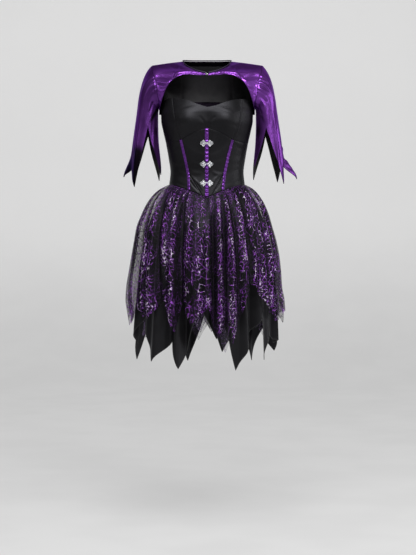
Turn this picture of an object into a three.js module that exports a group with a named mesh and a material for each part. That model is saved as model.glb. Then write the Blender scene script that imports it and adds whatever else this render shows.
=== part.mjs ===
// Witch costume: a pieced bodice, a three-layer pointed skirt and a short bolero with pointed sleeves.
// Millimetres, +Z up, the front faces -Y. The origin is the centre of the natural waist.
import * as THREE from 'three';

// Driving sizes
const CLOTH = 1.5; // bodice and bolero wall
const OVERLAY_WALL = 1.2;
const SATIN_WALL = 1.3;
const UNDER_WALL = 1.1;
const LINING_WALL = 1.0;
const SEAM = 0.3; // gap between neighbouring pieces
const RIBBON_WALL = 1.0;
const CENTRE_RIBBON = 11;
const SIDE_RIBBON = 7.5;
const BODY_SQUARENESS = 2.3; // power of the body's cross-section
const CUP_DEPTH = 15;
const CUP_X = 66;
const CUP_Z = 153;
const CUP_WIDTH = 40;
const CUP_HEIGHT = 40;
const WAIST_BACK_Z = -31;
const BODICE_BACK_TOP_Z = 215;
const BINDING_HEIGHT = 3.2;
const BINDING_WALL = 1.8;
const GATHER_DEPTH = 2.2;
const SLEEVE_MID_Y = 4;
const ARM_SHARE = 0.92; // share of the bolero's side edge that is armhole, the rest is side seam
const CAP_SHARE = 0.34; // share of a sleeve column's rows that shape the cap

// Bodice sections: half width, front depth and back depth at each height
const BODY = [
  { z: -90, w: 132, f: 100, b: 100 },
  { z: -31, w: 116, f: 89, b: 90 },
  { z: 3, w: 112.3, f: 85, b: 85 },
  { z: 48, w: 118, f: 88, b: 88 },
  { z: 97, w: 127, f: 97, b: 93 },
  { z: 132, w: 135, f: 104, b: 96 },
  { z: 160, w: 140.5, f: 108, b: 98 },
  { z: 178, w: 141, f: 108, b: 98 },
  { z: 200, w: 138.5, f: 104, b: 97 },
  { z: 235, w: 134, f: 97, b: 95 },
];

// Seams and edges of the bodice front, seen from the front
const SWEETHEART = [
  { x: -136, z: 216 }, { x: -131.8, z: 219.2 }, { x: -115.9, z: 225.2 }, { x: -87.4, z: 224.3 },
  { x: -58.7, z: 216.5 }, { x: -29.9, z: 203.7 }, { x: 0.5, z: 194.4 }, { x: 27.4, z: 199.2 },
  { x: 56.1, z: 210.8 }, { x: 84.9, z: 219.2 }, { x: 113.4, z: 222.2 }, { x: 129.3, z: 218 },
  { x: 136, z: 215 },
];
const UNDERBUST = [
  { x: -127, z: 92 }, { x: -119, z: 91.9 }, { x: -79.1, z: 97.5 }, { x: -40, z: 118 },
  { x: 0, z: 132.7 }, { x: 40, z: 118 }, { x: 77, z: 97.5 }, { x: 117.2, z: 89 }, { x: 127, z: 88.5 },
];
const WAIST_SEAM = [
  { x: -120, z: -32.5 }, { x: -116, z: -33.4 }, { x: -90, z: -41 }, { x: -54.5, z: -55.2 },
  { x: 0, z: -76 }, { x: 48, z: -55.2 }, { x: 88, z: -41 }, { x: 114, z: -33.5 }, { x: 120, z: -32.5 },
];
const PRINCESS_LEFT = [
  { x: -79.1, z: 97.5 }, { x: -88, z: 122 }, { x: -95, z: 151.3 }, { x: -100.5, z: 185 },
  { x: -103.5, z: 212 }, { x: -104.5, z: 225 },
];
const PRINCESS_RIGHT = [
  { x: 77, z: 97.5 }, { x: 89, z: 122 }, { x: 99, z: 154 }, { x: 103, z: 185 },
  { x: 104.5, z: 212 }, { x: 105, z: 221.8 },
];
const RIBBON_LEFT = [
  { x: -54.5, z: -55.2 }, { x: -56.6, z: -5.7 }, { x: -66.2, z: 42.1 }, { x: -79.1, z: 97.5 },
];
const RIBBON_RIGHT = [
  { x: 48, z: -55.2 }, { x: 52.5, z: -5.7 }, { x: 63.5, z: 48 }, { x: 77, z: 97.5 },
];
const GORE_TOP_Z = -7;
const GORE_LEFT_SEAM = [{ x: -14.2, z: -71.6 }, { x: -53, z: GORE_TOP_Z }];
const GORE_RIGHT_SEAM = [{ x: 14.2, z: -69.3 }, { x: 49, z: GORE_TOP_Z }];
const CLASPS = [{ n: 1, z: 87 }, { n: 2, z: 24.4 }, { n: 3, z: -33.5 }];

// How far each skirt layer stands out from the waist seam, by the depth below the seam
const OVERLAY_OUT = [
  { d: 0, left: 0, right: 0 }, { d: 12, left: 24, right: 23 }, { d: 31, left: 47, right: 42 },
  { d: 57, left: 67, right: 60 }, { d: 99, left: 88, right: 78 }, { d: 132, left: 102, right: 88 },
  { d: 174, left: 111, right: 100 }, { d: 221, left: 119, right: 109 }, { d: 268, left: 127, right: 114 },
  { d: 316, left: 134, right: 117 }, { d: 349, left: 135, right: 123 }, { d: 392, left: 129, right: 126 },
  { d: 440, left: 122, right: 126 }, { d: 500, left: 120, right: 126 },
];
const SATIN_OUT = [
  { d: 0, left: -1.5, right: -1.5 }, { d: 12, left: 9, right: 9 }, { d: 31, left: 20, right: 20 },
  { d: 69, left: 38, right: 38 }, { d: 100, left: 55, right: 54 }, { d: 176, left: 78, right: 77 },
  { d: 223, left: 86, right: 86 }, { d: 265, left: 92, right: 91 }, { d: 317, left: 97, right: 94 },
  { d: 394, left: 106, right: 100 }, { d: 494, left: 113, right: 104 }, { d: 580, left: 119, right: 108 },
];
const UNDER_OUT = [
  { d: 0, left: -3.1, right: -3.1 }, { d: 12, left: 2, right: 2 }, { d: 31, left: 9, right: 9 },
  { d: 69, left: 22, right: 22 }, { d: 100, left: 35, right: 34 }, { d: 176, left: 55, right: 54 },
  { d: 265, left: 68, right: 67 }, { d: 394, left: 80, right: 76 }, { d: 520, left: 90, right: 84 },
];

// Pointed hems of the front, left to right as seen: x, z and fold (1 stands out, -1 lies deep)
const OVERLAY_HEM = [
  { x: -237.5, z: -465, fold: 1 }, { x: -214, z: -405, fold: -1 }, { x: -173, z: -439, fold: 1 },
  { x: -129, z: -372, fold: -1 }, { x: -99, z: -478, fold: 1 }, { x: -74, z: -381, fold: -1 },
  { x: -47, z: -453, fold: 1 }, { x: -19, z: -424, fold: -0.8 }, { x: 5, z: -404, fold: 0.5 },
  { x: 17, z: -446, fold: -0.3 }, { x: 30, z: -496, fold: 1 }, { x: 53, z: -455, fold: -1 },
  { x: 71, z: -515, fold: 1 }, { x: 106, z: -416, fold: -0.9 }, { x: 132, z: -330, fold: 0.8 },
  { x: 149, z: -352, fold: -0.9 }, { x: 182, z: -408, fold: 1 }, { x: 211, z: -450, fold: -0.3 },
  { x: 221, z: -408, fold: -1 }, { x: 240, z: -420, fold: 1 },
];
const SATIN_HEM = [
  { x: -227, z: -523 }, { x: -199, z: -427 }, { x: -157, z: -566 }, { x: -111, z: -503 },
  { x: -82, z: -586 }, { x: -20, z: -398 }, { x: 27, z: -497 }, { x: 47, z: -440 },
  { x: 88, z: -592 }, { x: 156, z: -438 }, { x: 169.5, z: -563 }, { x: 190, z: -477 }, { x: 212, z: -520 },
];
const UNDER_HEM = [
  { x: -195, z: -508 }, { x: -150, z: -420 }, { x: -100, z: -470 }, { x: -60, z: -400 },
  { x: -20, z: -481 }, { x: 18, z: -405 }, { x: 52.5, z: -541 }, { x: 100, z: -415 },
  { x: 140, z: -468 }, { x: 175, z: -410 }, { x: 200, z: -464 },
];
// The back has the same cut, by angle from the centre front
const OVERLAY_BACK_HEM = [
  { deg: 90, z: -392, fold: -0.6 }, { deg: 101, z: -462, fold: 1 }, { deg: 112, z: -390, fold: -1 },
  { deg: 122, z: -448, fold: 1 }, { deg: 132, z: -372, fold: -1 }, { deg: 141, z: -486, fold: 1 },
  { deg: 150, z: -396, fold: -1 }, { deg: 159, z: -455, fold: 1 }, { deg: 168, z: -408, fold: -0.8 },
  { deg: 177, z: -500, fold: 1 }, { deg: 187, z: -418, fold: -1 }, { deg: 196, z: -476, fold: 1 },
  { deg: 206, z: -385, fold: -1 }, { deg: 216, z: -510, fold: 1 }, { deg: 226, z: -398, fold: -1 },
  { deg: 236, z: -446, fold: 1 }, { deg: 247, z: -376, fold: -0.9 }, { deg: 259, z: -470, fold: 1 },
  { deg: 270, z: -400, fold: -0.6 },
];
const SATIN_BACK_HEM = [
  { deg: 90, z: -440 }, { deg: 104, z: -548 }, { deg: 120, z: -446 }, { deg: 135, z: -584 },
  { deg: 151, z: -452 }, { deg: 166, z: -560 }, { deg: 181, z: -430 }, { deg: 196, z: -590 },
  { deg: 212, z: -470 }, { deg: 226, z: -556 }, { deg: 242, z: -440 }, { deg: 257, z: -575 },
  { deg: 270, z: -446 },
];
const UNDER_BACK_HEM = [
  { deg: 90, z: -405 }, { deg: 108, z: -500 }, { deg: 128, z: -412 }, { deg: 148, z: -516 },
  { deg: 168, z: -408 }, { deg: 188, z: -522 }, { deg: 208, z: -415 }, { deg: 230, z: -508 },
  { deg: 250, z: -404 }, { deg: 270, z: -440 },
];
const FOLD_DEPTH = [
  { d: 0, mm: 0 }, { d: 20, mm: 0.3 }, { d: 60, mm: 2 }, { d: 150, mm: 6 }, { d: 300, mm: 10 },
  { d: 440, mm: 13 }, { d: 600, mm: 14 },
];
const GATHER_FADE = [
  { d: 0, k: 0 }, { d: 6, k: 0.35 }, { d: 18, k: 1 }, { d: 60, k: 0.9 }, { d: 110, k: 0.45 },
  { d: 170, k: 0 }, { d: 600, k: 0 },
];
// Share of each layer's stand-out that reaches the front and the back
const OVERLAY_FRONT = 0.88;
const SATIN_FRONT = 0.74;
const UNDER_FRONT = 0.74;

// Bolero edges of the right half; the left half mirrors them
const NECKLINE = [
  { x: 4.6, y: -62, z: 301.3 }, { x: 17, y: -62, z: 304 }, { x: 35, y: -57, z: 309.2 },
  { x: 51.6, y: -46, z: 318.2 }, { x: 65.3, y: -28, z: 328.5 }, { x: 75, y: 4, z: 345 },
];
const NECK_BACK = [
  { x: 75, y: 4, z: 345 }, { x: 69, y: 32, z: 349 }, { x: 44, y: 53, z: 351 }, { x: 0, y: 61, z: 352 },
];
const SHOULDER = [{ x: 75, y: 4, z: 345 }, { x: 120, y: 5, z: 340 }, { x: 168, y: 5, z: 333 }];
const KEYHOLE = [
  { x: 4.6, y: -64, z: 294.3 }, { x: 30.3, y: -68, z: 294.6 }, { x: 56.6, y: -72, z: 295.8 },
  { x: 85.7, y: -75, z: 290.1 }, { x: 109, y: -77, z: 274.1 }, { x: 123.2, y: -76, z: 254.2 },
  { x: 132.6, y: -71, z: 231.9 }, { x: 139.3, y: -58, z: 212.3 }, { x: 145, y: -30, z: 190 },
  { x: 146.5, y: 5, z: 181 },
];
const ARMHOLE_FRONT = [
  { x: 168, y: 5, z: 333 }, { x: 167, y: -16, z: 318 }, { x: 162.5, y: -36, z: 299 },
  { x: 156, y: -52, z: 272.8 }, { x: 152, y: -56, z: 243 }, { x: 148, y: -49, z: 219 },
  { x: 147, y: -26, z: 201 }, { x: 147, y: 5, z: 196 },
];
const ARMHOLE_BACK = [
  { x: 168, y: 5, z: 333 }, { x: 167, y: 27, z: 318 }, { x: 163, y: 46, z: 299 },
  { x: 158, y: 60, z: 272 }, { x: 153, y: 64, z: 243 }, { x: 149.5, y: 56, z: 219 },
  { x: 148, y: 34, z: 202 }, { x: 147, y: 5, z: 196 },
];
const BACK_HEM_Z = 182;
const BACK_HEM_STAND = 2.2; // the back hem lies this far outside the bodice
const FRONT_BULGE = 5;
const ARM_REACH = 1.7; // the armhole's bow fades towards the neck
const BACK_BULGE = 20;

// Sleeve rings of the right arm: outer and inner edge and half depth at each height
const SLEEVE = [
  { z: -45, out: 240, in: 134, deep: 66 }, { z: 0, out: 237.5, in: 138, deep: 63 },
  { z: 44, out: 234, in: 142, deep: 60 }, { z: 62, out: 232, in: 144, deep: 58 },
  { z: 108, out: 226, in: 148, deep: 54 }, { z: 156, out: 219, in: 150, deep: 52 },
  { z: 207, out: 212, in: 149.5, deep: 52 }, { z: 240, out: 207, in: 149, deep: 54 },
];
const SLEEVE_CAP_Z = 200; // lower end of the cap
// Pointed sleeve hem: degrees from the outside of the arm, 90 is the front
const SLEEVE_LEFT_HEM = [
  { deg: -12, z: -10 }, { deg: 22, z: 12 }, { deg: 55, z: -43 }, { deg: 98, z: 144 }, { deg: 152, z: -5 },
  { deg: 188, z: 108 }, { deg: 226, z: -20 }, { deg: 266, z: 118 }, { deg: 312, z: -16 }, { deg: 330, z: 40 },
];
const SLEEVE_RIGHT_HEM = [
  { deg: -8, z: -16 }, { deg: 18, z: 26 }, { deg: 33, z: -32 }, { deg: 98, z: 138 }, { deg: 146, z: 21 },
  { deg: 182, z: 104 }, { deg: 218, z: -17 }, { deg: 264, z: 118 }, { deg: 304, z: -24 }, { deg: 330, z: 36 },
];
// The outermost point of each sleeve flicks outwards by this much, over this many degrees
const FLICK_LEFT = 18;
const FLICK_RIGHT = 37;
const FLICK_SPREAD = 20;
const FLICK_TOP_Z = 62;
const FLICK_END_Z = -14;
const LINED_ROWS = 5; // rows of the sleeve, from the hem up, that have a lining

// Colours, seen in the photo
const PURPLE_SATIN = { color: 0x4a2563, roughness: 0.36, metalness: 0 };
const RIBBON_SATIN = { color: 0x4b2b60, roughness: 0.28, metalness: 0 };
const BLACK_SATIN = { color: 0x1d1c1e, roughness: 0.36, metalness: 0 };
const BLACK_LINING = { color: 0x121113, roughness: 0.6, metalness: 0 };
const WEB_TULLE = { color: 0x3a2d44, roughness: 0.5, metalness: 0.1 };
const PALE_TULLE = { color: 0x8a7f9c, roughness: 0.6, metalness: 0.1 };
const SILVER = { color: 0xb9bcc2, roughness: 0.3, metalness: 1 };
const BINDING = { color: 0x1d1030, roughness: 0.5, metalness: 0 };

const DEG = Math.PI / 180;
const group = new THREE.Group();
group.name = 'witch_costume';

const vec = (x, y, z) => new THREE.Vector3(x, y, z);
const mix = (a, b, t) => a + (b - a) * t;
const clamp = (v, lo, hi) => Math.min(hi, Math.max(lo, v));
const smooth = (t) => t * t * (3 - 2 * t);

// Smooth reading of a column of a table, rows in rising order of key
function read(rows, key, column, at) {
  if (at <= rows[0][key]) return rows[0][column];
  const last = rows.length - 1;
  if (at >= rows[last][key]) return rows[last][column];
  let i = 0;
  while (rows[i + 1][key] < at) i += 1;
  const slope = (k) => (rows[k + 1][column] - rows[k][column]) / (rows[k + 1][key] - rows[k][key]);
  const tangent = (k) => {
    if (k === 0) return slope(0);
    if (k === last) return slope(last - 1);
    const a = slope(k - 1);
    const b = slope(k);
    return a * b <= 0 ? 0 : (2 * a * b) / (a + b);
  };
  const h = rows[i + 1][key] - rows[i][key];
  const t = (at - rows[i][key]) / h;
  const t2 = t * t;
  const t3 = t2 * t;
  return (2 * t3 - 3 * t2 + 1) * rows[i][column] + (t3 - 2 * t2 + t) * h * tangent(i)
    + (3 * t2 - 2 * t3) * rows[i + 1][column] + (t3 - t2) * h * tangent(i + 1);
}

// Straight reading, for pointed hems
function readStraight(rows, key, column, at) {
  if (at <= rows[0][key]) return rows[0][column];
  const last = rows.length - 1;
  if (at >= rows[last][key]) return rows[last][column];
  let i = 0;
  while (rows[i + 1][key] < at) i += 1;
  return mix(rows[i][column], rows[i + 1][column], (at - rows[i][key]) / (rows[i + 1][key] - rows[i][key]));
}

const round = (c, p) => Math.sign(c) * Math.abs(c) ** p;

// Point of the bodice's outer surface; angle 0 is the centre front, 90 degrees the right side
function bodyBase(angle, z) {
  const w = read(BODY, 'z', 'w', z);
  const s = Math.sin(angle);
  const c = Math.cos(angle);
  const depth = read(BODY, 'z', c > 0 ? 'f' : 'b', z);
  const x = w * round(s, 2 / BODY_SQUARENESS);
  let y = -depth * round(c, 2 / BODY_SQUARENESS);
  if (c > 0) {
    const across = Math.exp(-(((Math.abs(x) - CUP_X) / CUP_WIDTH) ** 2));
    const up = Math.exp(-(((z - CUP_Z) / CUP_HEIGHT) ** 2));
    y -= CUP_DEPTH * across * up * clamp(c * 2.2, 0, 1);
  }
  return vec(x, y, z);
}

function bodyNormal(angle, z) {
  const da = bodyBase(angle + 0.02, z).sub(bodyBase(angle - 0.02, z));
  const dz = bodyBase(angle, z + 1).sub(bodyBase(angle, z - 1));
  return da.cross(dz).normalize();
}

function body(angle, z, out) {
  return bodyBase(angle, z).addScaledVector(bodyNormal(angle, z), out);
}

// Angle of a front point with a given x
function frontAngle(x, z) {
  const w = read(BODY, 'z', 'w', z);
  const s = clamp(Math.abs(x) / w, 0, 1) ** (BODY_SQUARENESS / 2);
  return Math.sign(x) * Math.asin(s);
}

// Closed body from an outer and an inner grid of points, [column][row]
function closeGrids(outer, inner, around) {
  const m = outer.length;
  const n = outer[0].length;
  const position = [];
  const index = [];
  const push = (grid) => grid.forEach((col) => col.forEach((p) => position.push(p.x, p.y, p.z)));
  push(outer);
  push(inner);
  const at = (i, j) => (i % m) * n + j;
  const quad = (a, b, c, d) => index.push(a, b, c, a, c, d);
  const base = m * n;
  const columns = around ? m : m - 1;
  for (let i = 0; i < columns; i += 1) {
    for (let j = 0; j < n - 1; j += 1) {
      quad(at(i, j), at(i + 1, j), at(i + 1, j + 1), at(i, j + 1));
      quad(base + at(i, j), base + at(i, j + 1), base + at(i + 1, j + 1), base + at(i + 1, j));
    }
    quad(at(i, 0), base + at(i, 0), base + at(i + 1, 0), at(i + 1, 0));
    quad(at(i, n - 1), at(i + 1, n - 1), base + at(i + 1, n - 1), base + at(i, n - 1));
  }
  if (!around) {
    for (let j = 0; j < n - 1; j += 1) {
      quad(at(0, j), at(0, j + 1), base + at(0, j + 1), base + at(0, j));
      quad(at(m - 1, j), base + at(m - 1, j), base + at(m - 1, j + 1), at(m - 1, j + 1));
    }
  }
  const geometry = new THREE.BufferGeometry();
  geometry.setAttribute('position', new THREE.Float32BufferAttribute(position, 3));
  geometry.setIndex(index);
  return geometry;
}

function gridNormals(grid, around) {
  const m = grid.length;
  const n = grid[0].length;
  return grid.map((col, i) => col.map((p, j) => {
    const left = around ? grid[(i + m - 1) % m][j] : grid[Math.max(0, i - 1)][j];
    const right = around ? grid[(i + 1) % m][j] : grid[Math.min(m - 1, i + 1)][j];
    const up = grid[i][Math.min(n - 1, j + 1)];
    const down = grid[i][Math.max(0, j - 1)];
    return right.clone().sub(left).cross(up.clone().sub(down)).normalize();
  }));
}

// Wall of cloth: the grid is its outer face and the inner one lies wall mm behind it
function clothWall(grid, wall, options = {}) {
  const normals = options.normals || gridNormals(grid, options.around);
  if (options.squareEnds) {
    for (const col of [normals[0], normals[normals.length - 1]]) {
      col.forEach((v) => v.setY(0).normalize());
    }
  }
  if (options.topNormals) {
    const row = options.topRow === 'last' ? grid[0].length - 1 : 0;
    normals.forEach((col, i) => col[row].copy(options.topNormals[i]));
  }
  const inner = grid.map((col, i) => col.map((p, j) => p.clone().addScaledVector(normals[i][j], -wall)));
  return closeGrids(grid, inner, options.around);
}

// Draw the four edges of an open grid inwards by half a seam
function inset(grid, sides, by = SEAM / 2) {
  const m = grid.length;
  const n = grid[0].length;
  const pull = (p, q) => p.add(q.clone().sub(p).setLength(by));
  for (let j = 0; j < n; j += 1) {
    if (sides.includes('left')) pull(grid[0][j], grid[1][j]);
    if (sides.includes('right')) pull(grid[m - 1][j], grid[m - 2][j]);
  }
  for (let i = 0; i < m; i += 1) {
    if (sides.includes('down')) pull(grid[i][0], grid[i][1]);
    if (sides.includes('up')) pull(grid[i][n - 1], grid[i][n - 2]);
  }
  return grid;
}

function add(name, geometry, look) {
  geometry.computeVertexNormals();
  const mesh = new THREE.Mesh(geometry, new THREE.MeshStandardMaterial(look));
  mesh.name = name;
  group.add(mesh);
}

// Points with equal spacing along a chain of points
function chain(points) {
  const run = [0];
  for (let i = 1; i < points.length; i += 1) run.push(run[i - 1] + points[i].distanceTo(points[i - 1]));
  const total = run[run.length - 1];
  return (t) => {
    const s = clamp(t, 0, 1) * total;
    let i = 0;
    while (i < points.length - 2 && run[i + 1] < s) i += 1;
    return points[i].clone().lerp(points[i + 1], (s - run[i]) / (run[i + 1] - run[i]));
  };
}

function softChain(rows, side = 1) {
  const curve = new THREE.CatmullRomCurve3(rows.map((r) => vec(r.x * side, r.y, r.z)), false, 'centripetal');
  return chain(curve.getPoints(80));
}

// Patch between four edge curves
// A reach over 1 keeps the right edge's bow near that edge
function coons(down, up, left, right, reach = 1) {
  const p00 = down(0);
  const p10 = down(1);
  const p01 = up(0);
  const p11 = up(1);
  return (s, t) => {
    const p = down(s).multiplyScalar(1 - t).addScaledVector(up(s), t);
    const w = s ** reach;
    p.addScaledVector(left(t), 1 - w).addScaledVector(right(t), w);
    p.addScaledVector(p00, -(1 - w) * (1 - t)).addScaledVector(p10, -w * (1 - t));
    return p.addScaledVector(p01, -(1 - w) * t).addScaledVector(p11, -w * t);
  };
}

// The rows are a count or a list of places from 0 to 1
function sample(patch, columns, rows) {
  const places = Array.isArray(rows) ? rows : Array.from({ length: rows + 1 }, (v, j) => j / rows);
  const grid = [];
  for (let i = 0; i <= columns; i += 1) grid.push(places.map((t) => patch(i / columns, t)));
  return grid;
}

// Height of a seam of the front at an angle
function seamHeight(rows, angle) {
  let z = (rows[0].z + rows[Math.floor(rows.length / 2)].z) / 2;
  for (let k = 0; k < 12; k += 1) z = readStraight(rows, 'x', 'z', bodyBase(angle, z).x);
  return z;
}

function waistZ(angle) {
  if (Math.cos(angle) > 0) return seamHeight(WAIST_SEAM, angle);
  return mix(WAIST_BACK_Z, seamHeight(WAIST_SEAM, Math.sign(Math.sin(angle)) * 90 * DEG), Math.sin(angle) ** 2);
}

// Bodice panel, worked out as angle and height, then laid on the body
function panel(name, down, up, left, right, columns, rows) {
  const flat = sample(coons(down, up, left, right), columns, rows);
  const grid = flat.map((col) => col.map((p) => body(p.x, p.y, 0)));
  const normals = flat.map((col) => col.map((p) => bodyNormal(p.x, p.y)));
  if (flat[0][0].y < 0) normals.forEach((col) => col[0].setZ(0).normalize());
  inset(grid, ['left', 'right', 'down', 'up']);
  add(name, clothWall(grid, CLOTH, { normals }), BLACK_SATIN);
}

const alongSeam = (rows, x0, x1) => {
  const a0 = Math.abs(x0) > 200 ? Math.sign(x0) * 90 * DEG : frontAngle(x0, readStraight(rows, 'x', 'z', x0));
  const a1 = Math.abs(x1) > 200 ? Math.sign(x1) * 90 * DEG : frontAngle(x1, readStraight(rows, 'x', 'z', x1));
  return (t) => {
    const a = mix(a0, a1, t);
    return vec(a, seamHeight(rows, a), 0);
  };
};
const alongLine = (rows) => {
  const flat = chain(rows.map((r) => vec(r.x, r.z, 0)));
  return (t) => {
    const p = flat(t);
    return vec(frontAngle(p.x, p.y), p.y, 0);
  };
};
const upTheSide = (sign, lowSeam, highSeam) => (t) => {
  const a = sign * 90 * DEG;
  return vec(a, mix(seamHeight(lowSeam, a), seamHeight(highSeam, a), t), 0);
};

const SIDE = 999; // stands for the side seam in place of an x
const endOf = (rows) => rows[rows.length - 1];
const seamAt = (rows, x) => readStraight(rows, 'x', 'z', x);
endOf(PRINCESS_LEFT).z = seamAt(SWEETHEART, endOf(PRINCESS_LEFT).x);
endOf(PRINCESS_RIGHT).z = seamAt(SWEETHEART, endOf(PRINCESS_RIGHT).x);
for (const rows of [RIBBON_LEFT, RIBBON_RIGHT, GORE_LEFT_SEAM, GORE_RIGHT_SEAM]) {
  rows[0].z = seamAt(WAIST_SEAM, rows[0].x);
}
const BUST_X = [PRINCESS_LEFT[0].x, PRINCESS_RIGHT[0].x];
const TOP_X = [endOf(PRINCESS_LEFT).x, endOf(PRINCESS_RIGHT).x];
const RIBBON_X = [RIBBON_LEFT[0].x, RIBBON_RIGHT[0].x];
const GORE_X = [GORE_LEFT_SEAM[0].x, GORE_RIGHT_SEAM[0].x];

// Bodice
panel(
  'bust_front_centre',
  alongSeam(UNDERBUST, BUST_X[0], BUST_X[1]),
  alongSeam(SWEETHEART, TOP_X[0], TOP_X[1]),
  alongLine(PRINCESS_LEFT),
  alongLine(PRINCESS_RIGHT),
  16,
  7,
);
panel(
  'bust_side_left',
  alongSeam(UNDERBUST, -SIDE, BUST_X[0]),
  alongSeam(SWEETHEART, -SIDE, TOP_X[0]),
  upTheSide(-1, UNDERBUST, SWEETHEART),
  alongLine(PRINCESS_LEFT),
  6,
  7,
);
panel(
  'bust_side_right',
  alongSeam(UNDERBUST, BUST_X[1], SIDE),
  alongSeam(SWEETHEART, TOP_X[1], SIDE),
  alongLine(PRINCESS_RIGHT),
  upTheSide(1, UNDERBUST, SWEETHEART),
  6,
  7,
);
panel(
  'midriff_front_centre',
  alongSeam(WAIST_SEAM, GORE_X[0], GORE_X[1]),
  alongSeam(UNDERBUST, BUST_X[0], BUST_X[1]),
  alongLine([...GORE_LEFT_SEAM, { x: -57.5, z: 0 }, ...RIBBON_LEFT.slice(2)]),
  alongLine([...GORE_RIGHT_SEAM, { x: 53.7, z: 0 }, ...RIBBON_RIGHT.slice(2)]),
  12,
  14,
);
panel(
  'front_gore_left',
  alongSeam(WAIST_SEAM, RIBBON_X[0], GORE_X[0]),
  alongLine([{ x: -56.8, z: GORE_TOP_Z }, { x: -54, z: GORE_TOP_Z }]),
  alongLine([RIBBON_LEFT[0], { x: -56.8, z: GORE_TOP_Z }]),
  alongLine([GORE_LEFT_SEAM[0], { x: -54, z: GORE_TOP_Z }]),
  4,
  5,
);
panel(
  'front_gore_right',
  alongSeam(WAIST_SEAM, GORE_X[1], RIBBON_X[1]),
  alongLine([{ x: 50, z: GORE_TOP_Z }, { x: 52.6, z: GORE_TOP_Z }]),
  alongLine([GORE_RIGHT_SEAM[0], { x: 50, z: GORE_TOP_Z }]),
  alongLine([RIBBON_RIGHT[0], { x: 52.6, z: GORE_TOP_Z }]),
  4,
  5,
);
panel(
  'midriff_side_left',
  alongSeam(WAIST_SEAM, -SIDE, RIBBON_X[0]),
  alongSeam(UNDERBUST, -SIDE, BUST_X[0]),
  upTheSide(-1, WAIST_SEAM, UNDERBUST),
  alongLine(RIBBON_LEFT),
  6,
  8,
);
panel(
  'midriff_side_right',
  alongSeam(WAIST_SEAM, RIBBON_X[1], SIDE),
  alongSeam(UNDERBUST, BUST_X[1], SIDE),
  alongLine(RIBBON_RIGHT),
  upTheSide(1, WAIST_SEAM, UNDERBUST),
  6,
  8,
);

// Back panels from the side seam to the centre back seam
for (const [name, from, to] of [['bodice_back_right', 90, 180], ['bodice_back_left', 180, 270]]) {
  const sideTop = seamHeight(SWEETHEART, (from === 90 ? 90 : -90) * DEG);
  const bottom = (s) => {
    const a = mix(from, to, s) * DEG;
    return vec(a, waistZ(a), 0);
  };
  const top = (s) => {
    const a = mix(from, to, s) * DEG;
    return vec(a, mix(BODICE_BACK_TOP_Z, sideTop, Math.sin(a) ** 2), 0);
  };
  const edge = (s) => (t) => bottom(s).lerp(top(s), t);
  panel(name, bottom, top, edge(0), edge(1), 9, 9);
}

// Ribbons laid over the seams
function ribbon(name, rows, width, count) {
  const line = chain(rows.map((r) => vec(r.x, r.z, 0)));
  const grid = [];
  const normals = [];
  for (const k of [-1, 0, 1]) {
    const col = [];
    const lift = [];
    for (let j = 0; j <= count; j += 1) {
      const p = line(j / count);
      const q = line(Math.min(1, j / count + 0.02)).sub(line(Math.max(0, j / count - 0.02))).normalize();
      const x = p.x + (k * width * q.y) / 2;
      const z = p.y - (k * width * q.x) / 2;
      const a = frontAngle(x, z);
      col.push(body(a, z, SEAM + RIBBON_WALL));
      lift.push(bodyNormal(a, z));
    }
    grid.push(col);
    normals.push(lift);
  }
  add(name, clothWall(grid, RIBBON_WALL, { normals }), RIBBON_SATIN);
}
ribbon('ribbon_centre', [{ x: -0.8, z: -72.6 }, { x: -0.8, z: 131 }], CENTRE_RIBBON, 18);
const RIBBON_END = 2; // the side ribbons end this far above the waist seam
const raised = (rows) => rows.map((r, i) => ({ x: r.x, z: i === 0 ? r.z + RIBBON_END : r.z }));
ribbon('ribbon_left', raised(RIBBON_LEFT), SIDE_RIBBON, 14);
ribbon('ribbon_right', raised(RIBBON_RIGHT), SIDE_RIBBON, 14);

// Clasp plates: lobed lozenges that hook together over the centre ribbon
const PLATE = [
  { u: 0.5, v: 2 }, { u: 4, v: 2.6 }, { u: 6, v: 6 }, { u: 9.6, v: 9.6 }, { u: 12.4, v: 6.2 },
  { u: 16.6, v: 3.6 }, { u: 18.6, v: 0 }, { u: 16.6, v: -3.6 }, { u: 12.4, v: -6.2 }, { u: 9.6, v: -9.6 },
  { u: 6, v: -6 }, { u: 4, v: -2.6 }, { u: 0.5, v: -2 },
];
const PLATE_LOW = 2;
const PLATE_HIGH = 3.2;
const CLASP_X = -1;
function plate(name, side, zMid) {
  const flat = PLATE.map((p) => new THREE.Vector2(p.u * side, p.v));
  if (THREE.ShapeUtils.area(flat) < 0) flat.reverse();
  const faces = THREE.ShapeUtils.triangulateShape(flat, []);
  const n = flat.length;
  const position = [];
  for (const lift of [PLATE_HIGH, PLATE_LOW]) {
    for (const p of flat) {
      const q = body(frontAngle(CLASP_X + p.x, zMid + p.y), zMid + p.y, lift);
      position.push(q.x, q.y, q.z);
    }
  }
  const index = [];
  for (const [a, b, c] of faces) index.push(a, b, c, n + a, n + c, n + b);
  for (let i = 0; i < n; i += 1) {
    const j = (i + 1) % n;
    index.push(i, n + i, n + j, i, n + j, j);
  }
  const geometry = new THREE.BufferGeometry();
  geometry.setAttribute('position', new THREE.Float32BufferAttribute(position, 3));
  geometry.setIndex(index);
  add(name, geometry, SILVER);
}
for (const clasp of CLASPS) {
  plate(`clasp_${clasp.n}_left`, -1, clasp.z);
  plate(`clasp_${clasp.n}_right`, 1, clasp.z);
}

// Skirt layers
const wrap = (a) => (a > 180 * DEG ? a - 360 * DEG : a);
const skirtTop = (angle) => waistZ(wrap(angle)) - SEAM / 2;

function standOut(table, angle, d, frontShare) {
  const s = Math.sin(angle);
  const k = smooth((1 + s) / 2);
  const out = mix(read(table, 'd', 'left', d), read(table, 'd', 'right', d), k);
  const share = mix(1, frontShare, Math.cos(angle) ** 2);
  return out > 0 ? out * share : out;
}

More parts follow.
